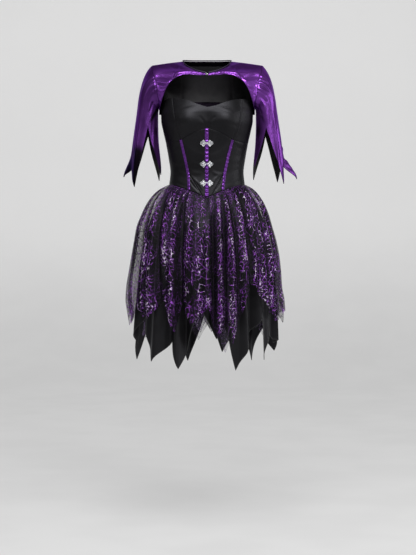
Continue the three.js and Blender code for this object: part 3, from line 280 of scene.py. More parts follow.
# Sleeve creases: degrees from, z from, degrees to, z to, bow, width, height
SLEEVE_LEFT_CREASES = [
    (84, 332, 98, 268, 2, 6, 3.2), (62, 318, 40, 236, 6, 8, 2.2), (88, 296, 74, 190, -6, 8, -2.2),
    (112, 270, 100, 170, 4, 8, 1.8),
    (24, 312, 30, 160, 8, 8, -1.8), (56, 196, 62, 20, 5, 7, 1.8), (34, 170, 40, 20, -4, 6, -1.8),
    (132, 226, 92, 150, 7, 6, -2.6), (140, 200, 126, 40, 5, 6, 2.0), (160, 230, 156, 60, -5, 7, -1.8),
    (8, 260, 12, 40, 5, 8, 1.6), (-14, 120, -6, 10, 3, 5, -1.6),
    (-40, 270, -30, 60, 6, 9, 1.8), (-80, 260, -70, 120, -6, 8, -1.8), (-120, 240, -130, 60, 5, 8, 1.8),
    (200, 190, 205, 70, 5, 8, 1.6),
]
SLEEVE_RIGHT_CREASES = [
    (66, 316, 30, 262, 5, 6, 2.4), (88, 304, 46, 268, -5, 4.5, -3.0), (96, 292, 54, 250, 6, 4.5, 3.2),
    (104, 276, 58, 244, 7, 4.5, -3.0), (110, 262, 70, 232, 5, 4.5, 3.2), (118, 246, 84, 214, -4, 5, -1.8),
    (128, 228, 98, 198, 4, 5, 2.2), (138, 208, 110, 176, -3, 5, -1.6), (144, 192, 120, 160, 3, 5, 1.6),
    (40, 280, 56, 190, 6, 8, 1.6), (84, 210, 80, 140, 5, 6, -1.8), (60, 190, 58, 20, 6, 7, 2.0),
    (40, 170, 40, 10, -4, 6, -2.0), (24, 120, 26, 0, -4, 5, 2.0), (146, 180, 146, 50, 4, 7, -2.0),
    (4, 230, 6, 60, 5, 8, 1.8), (14, 84, -12, 64, 3, 4, 2.6), (14, 66, -14, 44, -3, 4, -2.8),
    (12, 46, -14, 26, 3, 4, 2.8), (8, 26, -14, 6, -2, 4, -2.4),
    (-40, 260, -50, 30, 6, 9, 1.8), (-90, 260, -84, 110, -6, 8, -1.8), (-130, 230, -138, 60, 5, 8, 1.8),
]

# Painted shade: where the sleeves' purple is darkened to black along folds and on the inner side: degrees
# from, z from, degrees to, z to, bow, width, share
SLEEVE_LEFT_SHADE = [
    (178, 216, 96, 142, 4, 10, 1.2), (118, 100, 156, 6, 6, 7, 0.8), (170, 90, 152, -4, 0, 10, 1.0),
    (30, 226, 44, 90, 6, 9, 0.6), (4, 150, 16, 20, 3, 8, 0.8),
]
SLEEVE_RIGHT_SHADE = [
    (150, 206, 100, 146, 3, 7, 0.9), (70, 120, 56, -20, 4, 6, 0.7), (30, 110, 30, 20, 0, 6, 0.6),
    (120, 130, 146, 30, 4, 7, 0.6),
]

SLEEVES = {
    "left": {"side": -1, "hem": SLEEVE_LEFT_HEM, "creases": SLEEVE_LEFT_CREASES,
             "crease_share": 0.6, "easing": 1.4, "shade": SLEEVE_LEFT_SHADE},
    "right": {"side": 1, "hem": SLEEVE_RIGHT_HEM, "creases": SLEEVE_RIGHT_CREASES,
              "crease_share": 0.85, "easing": 2.2, "shade": SLEEVE_RIGHT_SHADE},
}

# One half of a clasp: outline u, v
PLATE = [
    (0.5, 2), (4, 2.6), (6, 6), (9.6, 9.6), (12.4, 6.2), (16.6, 3.6), (18.6, 0), (16.6, -3.6),
    (12.4, -6.2), (9.6, -9.6), (6, -6), (4, -2.6), (0.5, -2),
]
PLATE_MIDDLE, INNER_RIM_SHARE = (10.2, 0), 0.72
# Scrolls of one quarter: u, v, start, lean, turns, outer radius, inner radius, wire
SCROLLS = (
    (8.4, 4.4, 0, -1.2, 1.3, 2.6, 0.6, 0.42), (13.4, 2.7, math.pi, -0.6, 1.2, 2.0, 0.5, 0.38),
    (4.6, 1.3, 0, 0.4, 1.1, 1.2, 0.4, 0.34),
)
# Stones: u, v, radius
STONES = ((9.6, 0, 2.1), (13.6, 0, 1.2), (9.6, 5.6, 1.1), (9.6, -5.6, 1.1), (6.2, 0, 1.0))


# Reading the tables

def mix(a, b, t):
    return a + (b - a) * t


def smooth(t):
    return t * t * (3 - 2 * t)


def fade(value, low, high):
    """0 at low, 1 at high, soft between; low may be the larger."""
    return smooth(np.clip((value - low) / (high - low), 0, 1))


def read(table, column, at):
    """Smooth reading of a column of a table whose first column rises."""
    key, value = table[:, 0], table[:, column]
    at = np.clip(at, key[0], key[-1])
    i = np.clip(np.searchsorted(key, at, side="right") - 1, 0, len(key) - 2)
    step = np.diff(key)
    slope = np.diff(value) / step
    before, after = slope[:-1], slope[1:]
    both = before + after
    inner = np.where(before * after > 0, 2 * before * after / np.where(both == 0, 1, both), 0)
    tangent = np.concatenate(([slope[0]], inner, [slope[-1]]))
    t = (at - key[i]) / step[i]
    return ((2 * t**3 - 3 * t**2 + 1) * value[i] + (t**3 - 2 * t**2 + t) * step[i] * tangent[i]
            + (3 * t**2 - 2 * t**3) * value[i + 1] + (t**3 - t**2) * step[i] * tangent[i + 1])


def read_straight(table, at):
    return np.interp(at, table[:, 0], table[:, 1])


def power(c, p):
    return np.sign(c) * np.abs(c) ** p


def unit(v):
    return v / np.maximum(np.linalg.norm(v, axis=-1, keepdims=True), 1e-9)


def xyz(x, y, z):
    return np.stack(np.broadcast_arrays(x, y, z), -1).astype(float)


def run(points):
    """Distance along a line of points."""
    return np.concatenate(([0.0], np.cumsum(np.linalg.norm(np.diff(points, axis=0), axis=1))))


def chain(points):
    """A line of points as a function of the share of its length."""
    points = np.asarray(points, float)
    length = run(points)

    def at(t):
        s = np.clip(t, 0, 1) * length[-1]
        return np.stack([np.interp(s, length, points[:, k]) for k in range(points.shape[1])], -1)
    return at


def soft_chain(rows, side=1):
    """The same through a smooth curve, spaced by the root of each step."""
    p = np.array(rows, float) * (side, 1, 1)
    p = np.vstack((2 * p[0] - p[1], p, 2 * p[-1] - p[-2]))
    step = np.sqrt(np.linalg.norm(np.diff(p, axis=0), axis=1))
    out = []
    spans = len(p) - 3
    for t in np.linspace(0, spans, 81):
        i = min(int(t), spans - 1)
        u = t - i
        a, b, c = step[i], step[i + 1], step[i + 2]
        p0, p1, p2, p3 = p[i:i + 4]
        m1 = ((p1 - p0) / a - (p2 - p0) / (a + b) + (p2 - p1) / b) * b
        m2 = ((p2 - p1) / b - (p3 - p1) / (b + c) + (p3 - p2) / c) * b
        out.append((2 * u**3 - 3 * u**2 + 1) * p1 + (u**3 - 2 * u**2 + u) * m1
                   + (3 * u**2 - 2 * u**3) * p2 + (u**3 - u**2) * m2)
    return chain(out)


# The body's shape

def body_base(angle, z):
    """Point of the bodice's outside; angle 0 is the centre front, 90 degrees the right side."""
    w = read(BODY, 1, z)
    s, c = np.sin(angle), np.cos(angle)
    depth = np.where(c > 0, read(BODY, 2, z), read(BODY, 3, z))
    x = w * power(s, 2 / BODY_SQUARENESS)
    y = -depth * power(c, 2 / BODY_SQUARENESS)
    across = np.exp(-(((np.abs(x) - CUP_X) / CUP_WIDTH) ** 2))
    up = np.exp(-(((z - CUP_Z) / CUP_HEIGHT) ** 2))
    y = y - np.where(c > 0, CUP_DEPTH * across * up * np.clip(c * 2.2, 0, 1), 0)
    return xyz(x, y, z)


def body_normal(angle, z):
    da = body_base(angle + 0.02, z) - body_base(angle - 0.02, z)
    dz = body_base(angle, z + 1) - body_base(angle, z - 1)
    return unit(np.cross(da, dz))


def body(angle, z, out):
    return body_base(angle, z) + body_normal(angle, z) * np.asarray(out, float)[..., None]


def front_angle(x, z):
    share = np.clip(np.abs(x) / read(BODY, 1, z), 0, 1)
    return np.sign(x) * np.arcsin(share ** (BODY_SQUARENESS / 2))


def seam_height(table, angle):
    z = np.full(np.shape(angle), (table[0, 1] + table[len(table) // 2, 1]) / 2)
    for _ in range(12):
        z = read_straight(table, body_base(angle, z)[..., 0])
    return z


def waist_height(angle):
    side = seam_height(WAIST_SEAM, np.where(np.sin(angle) < 0, -90.0, 90.0) * DEG)
    back = mix(WAIST_BACK_Z, side, np.sin(angle) ** 2)
    return np.where(np.cos(angle) > 0, seam_height(WAIST_SEAM, angle), back)


def coons(down, up, left, right, reach=1):
    """Patch between four edge curves; a reach over 1 keeps the right one's bow near it."""
    p00, p10, p01, p11 = down(0.0), down(1.0), up(0.0), up(1.0)

    def at(s, t):
        s, t = np.broadcast_arrays(s, t)
        a, b = s[..., None] ** reach, t[..., None]
        return (down(s) * (1 - b) + up(s) * b + left(t) * (1 - a) + right(t) * a
                - p00 * (1 - a) * (1 - b) - p10 * a * (1 - b) - p01 * (1 - a) * b - p11 * a * b)
    return at


# Grids of points, [column][row]

def grid_normals(grid, around=False):
    if around:
        du = np.roll(grid, -1, 0) - np.roll(grid, 1, 0)
    else:
        du = np.gradient(grid, axis=0)
    return unit(np.cross(du, np.gradient(grid, axis=1)))


def lengths(grid, axis):
    """Distance along the columns' or rows' own lines."""
    step = np.linalg.norm(np.diff(grid, axis=axis), axis=-1)
    zero = np.zeros_like(np.take(step, [0], axis=axis))
    return np.cumsum(np.concatenate((zero, step), axis=axis), axis=axis)


def facet_areas(grid):
    du = np.diff(grid, axis=0)[:, :-1]
    dv = np.diff(grid, axis=1)[:-1]
    return np.linalg.norm(np.cross(du, dv), axis=-1)


def flat_widths(grid):
    """Width of the cloth up to each point, square to the columns, whatever the slant of the rows."""
    high = np.linalg.norm(np.diff(grid, axis=1)[:-1], axis=-1)
    step = facet_areas(grid) / np.maximum(high, 1e-6)
    step = np.concatenate((step, step[:, -1:]), axis=1)
    return np.concatenate((np.zeros_like(step[:1]), np.cumsum(step, axis=0)))


def edge_distance(grid, sides):
    across, along = lengths(grid, 0), lengths(grid, 1)
    found = np.full(grid.shape[:2], 1e3)
    for side, value in (("left", across), ("right", across[-1:] - across),
                        ("down", along), ("up", along[:, -1:] - along)):
        if side in sides:
            found = np.minimum(found, value)
    return found


def creased(x, z, rows):
    """Soft ridges and troughs, each along its own bowed line."""
    lift = np.zeros(np.shape(x))
    for x0, z0, x1, z1, bow, width, height in rows:
        dx, dz = x1 - x0, z1 - z0
        length = math.hypot(dx, dz)
        t = ((x - x0) * dx + (z - z0) * dz) / length**2
        off = ((x - x0) * dz - (z - z0) * dx) / length - bow * 4 * t * (1 - t)
        taper = np.sin(np.pi * np.clip(t, 0, 1)) ** 0.7
        q = off / width
        lift += height * taper * (np.exp(-q * q) - 0.28 * np.exp(-((q - 1.7) ** 2)))
    return lift


def ripple(at, seed, period):
    """Uneven waves along a line, from -1 to 1."""
    rng = np.random.default_rng(seed)
    total = np.zeros(np.shape(at))
    for k in range(5):
        wave = period * rng.uniform(0.6, 1.7)
        total += math.cos(k) * np.sin(2 * np.pi * at / wave + rng.uniform(0, 6.28))
    return total / 3


# Meshes

def grid_faces(m, n, around=False, start=0):
    i = np.arange(m if around else m - 1)
    j = np.arange(n - 1)
    i, j = np.meshgrid(i, j, indexing="ij")
    a = i * n + j
    b = ((i + 1) % m) * n + j
    return np.stack((a, b, b + 1, a + 1), -1).reshape(-1, 4) + start


def rim_faces(m, n, around):
    """Faces that join the edges of an outer grid to those of an inner one."""
    i = np.arange(m if around else m - 1)
    k = (i + 1) % m
    base = m * n
    low = np.stack((i * n, base + i * n, base + k * n, k * n), -1)
    top = n - 1
    high = np.stack((i * n + top, k * n + top, base + k * n + top, base + i * n + top), -1)
    faces = [low, high]
    if not around:
        j = np.arange(n - 1)
        last = (m - 1) * n
        faces.append(np.stack((j, j + 1, base + j + 1, base + j), -1))
        faces.append(np.stack((last + j, base + last + j, base + last + j + 1, last + j + 1), -1))
    return np.concatenate(faces)


def finish_piece(name, mesh, material, nodes):
    piece = bpy.data.objects.new(name, mesh)
    bpy.context.scene.collection.objects.link(piece)
    if material:
        mesh.materials.append(material)
    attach(piece, "root")
    if nodes:
        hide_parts(*nodes)
    return piece


def cloth_piece(name, outer, inner, material, nodes, around=False, values=None, inside=None,
                gathered=False):
    """A piece of cloth from its outer grid, and its inner one where it is a closed shell.

    Gathered cloth keeps its widest row's width at every height, so its pattern narrows with it.
    """
    m, n = outer.shape[:2]
    points = outer.reshape(-1, 3)
    faces = grid_faces(m, n, around)
    closed = np.concatenate((outer, outer[:1])) if around else outer
    flat_u = flat_widths(closed)
    if gathered:
        flat_u = np.repeat(flat_u[:, [flat_u[-1].argmax()]], n, axis=1)
    flat_u = flat_u - flat_u[-1:] / 2
    flat_v = lengths(closed, 1)
    flat_v = flat_v - flat_v[:, -1:]
    flat = np.stack((flat_u, flat_v), -1).reshape(-1, 2) * MM
    flat_faces = grid_faces(m + 1 if around else m, n)
    if inner is not None:
        points = np.concatenate((points, inner.reshape(-1, 3)))
        back = grid_faces(m, n, around, m * n)[:, ::-1]
        rim = rim_faces(m, n, around)
        flat_faces = np.concatenate((flat_faces, flat_faces[:, ::-1], rim % (m * n)))
        faces = np.concatenate((faces, back, rim))
    mesh = bpy.data.meshes.new(name)
    mesh.from_pydata((points * MM).tolist(), [], faces.tolist())
    mesh.uv_layers.new(name="cloth").data.foreach_set("uv", flat[flat_faces.ravel()].ravel())
    for key, value in (values or {}).items():
        value = np.broadcast_to(value, (m, n)).ravel()
        if inner is not None:
            value = np.concatenate((value, np.full(m * n, inside)))
        layer = mesh.attributes.new(key, "FLOAT", "POINT")
        layer.data.foreach_set("value", value.astype(np.float32))
    mesh.shade_smooth()
    if inner is not None:
        mesh.set_sharp_from_angle(angle=50 * DEG)
    return finish_piece(name, mesh, material, nodes)


class Trim:
    """Small solid bodies gathered into one mesh."""

    def __init__(self):
        self.points = []
        self.faces = []

    def add(self, points, faces):
        start = len(self.points)
        self.points.extend(np.asarray(points, float).tolist())
        self.faces.extend([tuple(start + k for k in face) for face in faces])

    def sweep(self, path, across, up, profile, closed=False):
        m, k = len(path), len(profile)
        profile = np.asarray(profile, float)
        points = (path[:, None] + profile[None, :, 0, None] * across[:, None]
                  + profile[None, :, 1, None] * up[:, None])
        faces = []
        for i in range(m if closed else m - 1):
            for j in range(k):
                a, b = i * k + j, ((i + 1) % m) * k + j
                c, d = ((i + 1) % m) * k + (j + 1) % k, i * k + (j + 1) % k
                faces.append((a, b, c, d))
        if not closed:
            faces += [tuple(range(k)), tuple((m - 1) * k + j for j in reversed(range(k)))]
        self.add(points.reshape(-1, 3), faces)

    def tube(self, path, radius, sides=6, closed=False, level=(0, 0, 1)):
        path = np.asarray(path, float)
        if closed:
            tangent = unit(np.roll(path, -1, 0) - np.roll(path, 1, 0))
        else:
            tangent = unit(np.gradient(path, axis=0))
        level = np.broadcast_to(np.asarray(level, float), path.shape)
        across = unit(np.cross(tangent, level))
        up = np.cross(across, tangent)
        turn = np.arange(sides) * 2 * math.pi / sides
        profile = np.stack((np.cos(turn), np.sin(turn)), -1) * radius
        self.sweep(path, across, up, profile, closed)

    def ball(self, centre, radius, squash=1.0, sides=8, rings=5):
        rows = [(0, 0, 1)]
        for i in range(1, rings):
            a = math.pi * i / rings
            for j in range(sides):
                b = 2 * math.pi * j / sides
                rows.append((math.sin(a) * math.cos(b), math.sin(a) * math.sin(b), math.cos(a)))
        rows.append((0, 0, -1))
        points = np.array(rows) * (radius, radius, radius * squash) + np.asarray(centre, float)
        faces = [(0, 1 + j, 1 + (j + 1) % sides) for j in range(sides)]
        for i in range(rings - 2):
            for j in range(sides):
                a, b = 1 + i * sides + j, 1 + i * sides + (j + 1) % sides
                faces.append((a, a + sides, b + sides, b))
        last = len(rows) - 1
        base = 1 + (rings - 2) * sides
        faces += [(last, base + (j + 1) % sides, base + j) for j in range(sides)]
        self.add(points, faces)

    def stone(self, centre, radius, height):
        """Cut stone with eight sides and a flat table."""
        turn = np.arange(8) * math.pi / 4 + math.pi / 8
        ring = np.stack((np.cos(turn), np.sin(turn), turn * 0), -1)
        low = ring * radius
        table = ring * radius * 0.52 + (0, 0, height)
        points = np.concatenate((low - (0, 0, height * 0.5), low, table)) + np.asarray(centre, float)
        faces = [(i + 8 * r, (i + 1) % 8 + 8 * r, (i + 1) % 8 + 8 * (r + 1), i + 8 * (r + 1))
                 for r in range(2) for i in range(8)]
        faces += [tuple(reversed(range(8))), tuple(range(16, 24))]
        self.add(points, faces)

    def piece(self, name, material, nodes, slot, place=None, smooth_angle=40):
        points = np.array(self.points)
        if place:
            points = place(points)
        mesh = bpy.data.meshes.new(name)
        mesh.from_pydata((points * MM).tolist(), [], self.faces)
        work = bmesh.new()
        work.from_mesh(mesh)
        bmesh.ops.recalc_face_normals(work, faces=work.faces)
        work.to_mesh(mesh)
        work.free()
        mesh.shade_smooth()
        mesh.set_sharp_from_angle(angle=smooth_angle * DEG)
        return finish_piece(name, mesh, material, nodes)


# Materials

class Shader:
    """Short way to add and join the nodes of one material."""

    def __init__(self, name):
        self.material = bpy.data.materials.new(name)
        self.material.use_nodes = True
        self.tree = self.material.node_tree
        self.surface = self.tree.nodes["Principled BSDF"]

    def put(self, socket, value):
        if isinstance(value, bpy.types.NodeSocket):
            self.tree.links.new(value, socket)
        else:
            socket.default_value = value

    def add(self, kind, inputs=None, **settings):
        node = self.tree.nodes.new(kind)
        for key, value in settings.items():
            setattr(node, key, value)
        for key, value in (inputs or {}).items():
            self.put(node.inputs[key], value)
        return node

    def set(self, **values):
        for key, value in values.items():
            self.put(self.surface.inputs[key.replace("_", " ")], value)

    def math(self, operation, *values, clamp=False):
        node = self.add("ShaderNodeMath", operation=operation, use_clamp=clamp)
        for socket, value in zip(node.inputs, values):
            self.put(socket, value)
        return node.outputs[0]

    def ramp(self, value, low, high, to_low=0.0, to_high=1.0):
        node = self.add("ShaderNodeMapRange", {
            "Value": value, "From Min": low, "From Max": high, "To Min": to_low, "To Max": to_high,
        }, interpolation_type="SMOOTHSTEP")
        return node.outputs["Result"]

    def colour(self, factor, a, b):
        node = self.add("ShaderNodeMix", data_type="RGBA")
        self.put(node.inputs[0], factor)
        self.put(node.inputs[6], a)
        self.put(node.inputs[7], b)
        return node.outputs[2]

    def noise(self, vector, scale, detail=2.0, rough=0.5):
        node = self.add("ShaderNodeTexNoise", {
            "Vector": vector, "Scale": scale, "Detail": detail, "Roughness": rough,
        })
        return node.outputs["Fac"]

    def uv(self, across=1.0, along=1.0):
        source = self.add("ShaderNodeUVMap", uv_map="cloth").outputs["UV"]
        return self.add("ShaderNodeVectorMath", {0: source, 1: (across, along, 1)},
                        operation="MULTIPLY").outputs["Vector"]

    def object_place(self):
        return self.add("ShaderNodeTexCoord").outputs["Object"]

    def attribute(self, name):
        return self.add("ShaderNodeAttribute", attribute_name=name).outputs["Fac"]

    def bump(self, height, distance, strength, base=None):
        inputs = {"Height": height, "Distance": distance, "Strength": strength}
        if base is not None:
            inputs["Normal"] = base
        return self.add("ShaderNodeBump", inputs).outputs["Normal"]


def linear(colour, share=1.0):
    """Linear colour with alpha, from a screen colour of 0 to 1."""
    out = [(c / 12.92 if c <= 0.04045 else ((c + 0.055) / 1.055) ** 2.4) * share for c in colour]
    return (*out, 1.0)


def satin(name, colour, tint, roughness, metallic, specular, painted_shade=None):
    """Woven satin: long floats that shine across the cloth, soft wrinkles, thread-fine grain."""
    s = Shader(name)
    place = s.object_place()
    broad = s.noise(place, 16.0, 2.0)
    shade = s.colour(s.ramp(broad, 0.3, 0.7), linear(colour, 0.78), linear(colour, 1.22))
    # Painted shade: the colour turns towards a near-black wherever the mesh's shade attribute is set
    if painted_shade:
        shade = s.colour(s.attribute("painted_shade"), shade, linear(painted_shade))
    floats = s.noise(s.uv(5200.0, 700.0), 1.0, 1.0)
    wrinkles = s.noise(place, 48.0, 3.0)
    normal = s.bump(wrinkles, 0.0008, 0.5)
    normal = s.bump(floats, 0.00006, 0.35, normal)
    s.set(Base_Color=shade, Roughness=s.ramp(floats, 0.2, 0.8, roughness - 0.05, roughness + 0.06),
          Normal=normal, Metallic=metallic, Specular_IOR_Level=specular, Specular_Tint=linear(tint),
          Anisotropic=0.4)
    return s.material


def matt_cloth(name, colour):
    s = Shader(name)
    weave = s.noise(s.object_place(), 2600.0, 1.0)
    broad = s.noise(s.object_place(), 24.0, 2.0)
    s.set(Base_Color=s.colour(s.ramp(broad, 0.3, 0.7), linear(colour, 0.8), linear(colour, 1.3)),
          Roughness=s.ramp(weave, 0.2, 0.8, 0.5, 0.68), Normal=s.bump(weave, 0.00008, 0.4),
          Specular_IOR_Level=0.3)
    return s.material


SPOKES = 9
RING_STEP = 11.0  # mm


def web_net(name, net, web, glint, net_share, web_share, cell):
    """Fine net with glitter webs: spokes and sagging rings round each hub, and a crackle between; painted
    highlights and glints on the folds' crests, painted shade in their hollows.
    """
    s = Shader(name)
    warp = s.add("ShaderNodeTexNoise", {"Vector": s.uv(80.0, 80.0), "Scale": 1.0, "Detail": 1.0})
    warp = s.add("ShaderNodeVectorMath", {0: warp.outputs["Color"], 1: (0.06, 0.06, 0.0)},
                 operation="MULTIPLY").outputs["Vector"]
    spot = s.add("ShaderNodeVectorMath", {0: s.uv(1 / cell, 1 / cell), 1: warp}).outputs["Vector"]
    # Webs round their hubs
    hub = s.add("ShaderNodeTexVoronoi", {"Vector": spot, "Scale": 1.0, "Randomness": 0.85},
                voronoi_dimensions="2D")
    away = s.add("ShaderNodeVectorMath", {0: spot, 1: hub.outputs["Position"]}, operation="SUBTRACT")
    parts = s.add("ShaderNodeSeparateXYZ", {0: away.outputs["Vector"]})
    radius = s.math("MULTIPLY", hub.outputs["Distance"], cell * 1000)
    turn = s.math("MULTIPLY", s.math("ARCTAN2", parts.outputs["Y"], parts.outputs["X"]),
                  SPOKES / (2 * math.pi))
    wobble = s.noise(s.uv(60.0, 60.0), 1.0, 2.0)
    phase = s.math("FRACT", s.math("ADD", turn, s.math("MULTIPLY", wobble, 0.5)))
    from_spoke = s.math("ABSOLUTE", s.math("SUBTRACT", phase, 0.5))
    spoke_mm = s.math("MULTIPLY", s.math("MULTIPLY", from_spoke, radius), 2 * math.pi / SPOKES)
    sag = s.math("MULTIPLY", s.math("MULTIPLY", from_spoke, from_spoke), 15.0)
    ring_phase = s.math("FRACT", s.math("ADD", s.math("DIVIDE", s.math("ADD", radius, sag), RING_STEP),
                                        s.math("MULTIPLY", wobble, 0.5)))
    ring_mm = s.math("MULTIPLY", s.math("ABSOLUTE", s.math("SUBTRACT", ring_phase, 0.5)), RING_STEP)
    webs = s.math("MAXIMUM", s.ramp(spoke_mm, 0.85, 0.4), s.ramp(ring_mm, 0.7, 0.3))
    webs = s.math("MULTIPLY", webs, s.ramp(radius, cell * 560, cell * 430))

    # Crackle between the webs
    def cracks(size, half_width):
        lace = s.add("ShaderNodeTexVoronoi", {"Vector": spot, "Scale": cell / size, "Randomness": 1.0},
                     voronoi_dimensions="2D", feature="DISTANCE_TO_EDGE")
        return s.ramp(s.math("MULTIPLY", lace.outputs["Distance"], size * 1000), half_width * 1.5,
                      half_width * 0.6)

    def bands(across, along, low, high):
        return s.ramp(s.noise(s.uv(1 / across, 1 / along), 1.0, 2.0), low, high)

    fine = s.math("MULTIPLY", cracks(0.0125, 0.36), bands(0.046, 0.10, 0.48, 0.55))
    wide = s.math("MULTIPLY", cracks(0.024, 0.45), bands(0.06, 0.08, 0.40, 0.48))
    between = s.math("MULTIPLY", s.math("MAXIMUM", fine, wide), bands(0.022, 0.034, 0.28, 0.40))
    between = s.math("MULTIPLY", between, s.ramp(radius, cell * 200, cell * 380, 0.3, 1.0))
    lines = s.math("MAXIMUM", webs, between)
    # Painted light: crests of the folds get painted highlights, and their hollows painted shade, darker and
    # more opaque
    crest = s.attribute("crest")
    lines = s.math("MULTIPLY", lines, s.ramp(crest, 0.0, 0.45, 0.3, 1.0))
    tone_and_highlight = s.math("ADD", s.math("MULTIPLY", bands(0.018, 0.10, 0.34, 0.66), 0.55),
                    s.math("MULTIPLY", crest, 0.65))
    # Painted glints: a fine sparkle breaks the painted highlights into short bright bits
    spark = bands(0.0055, 0.009, 0.36, 0.64)
    tone_and_highlight = s.math("MULTIPLY", tone_and_highlight, s.ramp(spark, 0.0, 1.0, 0.36, 1.2))
    # The lines run from near-black to bright purple by random tone and the painted highlight
    colour = s.colour(s.ramp(tone_and_highlight, 0.12, 0.85), linear(web, 0.10), linear(web, 1.3))
    # Painted glints: near-white where the painted highlight is strongest
    painted_glint = s.math("MULTIPLY", s.ramp(tone_and_highlight, 0.66, 0.96), bands(0.014, 0.05, 0.45, 0.55))
    colour = s.colour(painted_glint, colour, linear(glint))
    # Painted sheen on the crests of the net's ground, painted shade in its hollows
    ground_shade_and_sheen = s.colour(s.math("MULTIPLY", crest, bands(0.03, 0.3, 0.3, 0.7)), linear(net, 0.25),
                      linear(net, 2.2))
    threads = s.noise(s.uv(900.0, 900.0), 1.0, 0.0)
    cover = s.math("ADD", s.ramp(threads, 0.35, 0.65, net_share * 0.8, net_share * 1.2),
                   s.math("MULTIPLY", lines, web_share), clamp=True)
    # Painted shade: the net is made more opaque in the hollows
    cover = s.math("ADD", cover, s.ramp(crest, 0.35, 0.0, 0.0, net_share * 0.8), clamp=True)
    s.set(Base_Color=s.colour(lines, ground_shade_and_sheen, colour), Alpha=cover, Normal=s.bump(lines, 0.0002, 0.6),
          Roughness=s.ramp(lines, 0.0, 1.0, 0.62, 0.34), Metallic=s.math("MULTIPLY", painted_glint, 0.3),
          Specular_IOR_Level=0.1)
    return s.material


def silver(name):
    s = Shader(name)
    place = s.object_place()
    dust = s.noise(place, 420.0, 3.0)
    shade = s.colour(s.ramp(dust, 0.35, 0.7), linear((0.72, 0.73, 0.74)), linear((0.95, 0.95, 0.96)))
    s.set(Base_Color=shade, Metallic=0.72, Roughness=s.ramp(dust, 0.3, 0.7, 0.24, 0.4),
          Normal=s.bump(dust, 0.0001, 0.4))
    return s.material


def stone_glass(name):
    s = Shader(name)
    dust = s.noise(s.object_place(), 300.0, 1.0)
    shade = s.colour(dust, linear((0.78, 0.79, 0.82)), linear((0.97, 0.97, 1.0)))
    s.set(Base_Color=shade, Roughness=0.08, Specular_IOR_Level=0.9, Coat_Weight=0.5, Metallic=0.35)
    return s.material


def thread(name, colour):
    s = Shader(name)
    twist = s.noise(s.object_place(), 2600.0, 1.0)
    s.set(Base_Color=s.colour(twist, linear(colour, 0.8), linear(colour, 1.2)), Roughness=0.55,
          Normal=s.bump(twist, 0.00008, 0.5))
    return s.material


# What a user may change

def length_choice(name, description, default, least, most):
    return bpy.props.FloatProperty(name=name, description=description, default=default, min=least,
                                   max=most, unit="LENGTH")


def share_choice(name, description, default, least, most):
    return bpy.props.FloatProperty(name=name, description=description, default=default, min=least,
                                   max=most, subtype="FACTOR")


def colour_choice(name, description, default):
    return bpy.props.FloatVectorProperty(name=name, description=description, size=3,
                                         subtype="COLOR_GAMMA", default=default, min=0, max=1)


class CostumeCut(bpy.types.PropertyGroup):
    """Sizes of the cloth's own relief"""
    seam_roll: length_choice("Seam roll", "How far a panel's edge turns in at a seam", 0.0012, 0.0, 0.003)
    pucker: length_choice("Seam pucker", "Height of the small waves along the seams", 0.0004, 0.0, 0.002)
    crease: share_choice("Crease strength", "Multiplies the height of every placed crease", 1.0, 0.0, 2.0)
    gathers: bpy.props.IntProperty(
        name="Gathers", description="Gathers round the waist of the net skirt", default=52, min=12, max=90)
    gather_depth: length_choice("Gather depth", "Depth of a gather below the waist seam", 0.0058, 0.0, 0.012)
    ribbon_wave: length_choice("Ribbon wave", "Height of the waves in the centre ribbon", 0.0026, 0.0, 0.004)
    stitch_length: length_choice("Stitch length", "Length of one topstitch", 0.0023, 0.001, 0.006)
    stitch_gap: length_choice("Stitch spacing", "Distance from stitch to stitch", 0.0032, 0.0015, 0.01)
    web_cell: length_choice("Web size", "Distance from one web's hub to the next", 0.094, 0.03, 0.2)


class CostumeLooks(bpy.types.PropertyGroup):
    """Colours of the costume and its stage"""
    purple: colour_choice("Purple satin", "Bolero and sleeves", (0.425, 0.225, 0.555))
    purple_shine: colour_choice("Purple shine", "Tint of the purple satin's highlights", (0.72, 0.50, 0.88))
    black: colour_choice("Black satin", "Bodice", (0.054, 0.052, 0.057))
    # The skirt's satin is the bodice's black satin painted lighter, standing in for the light on the skirt
    skirt_satin_painted_light: colour_choice("Skirt satin", "Plain middle layer of the skirt", (0.078, 0.076, 0.081))
    ribbon: colour_choice("Ribbon", "Satin ribbons on the bodice", (0.33, 0.17, 0.44))
    web: colour_choice("Webs", "Glitter lines of the net skirt", (0.50, 0.25, 0.64))
    net: colour_choice("Net", "The net skirt's ground", (0.075, 0.065, 0.085))
    net_cover: share_choice("Net cover", "Share of the light that one net layer holds back", 0.45, 0.02, 1.0)
    backdrop: colour_choice("Backdrop", "Wall and floor of the stage", (0.86, 0.86, 0.86))


MATERIALS = {}


def looks():
    return bpy.context.scene.costume_looks


def cut():
    return bpy.context.scene.costume_cut


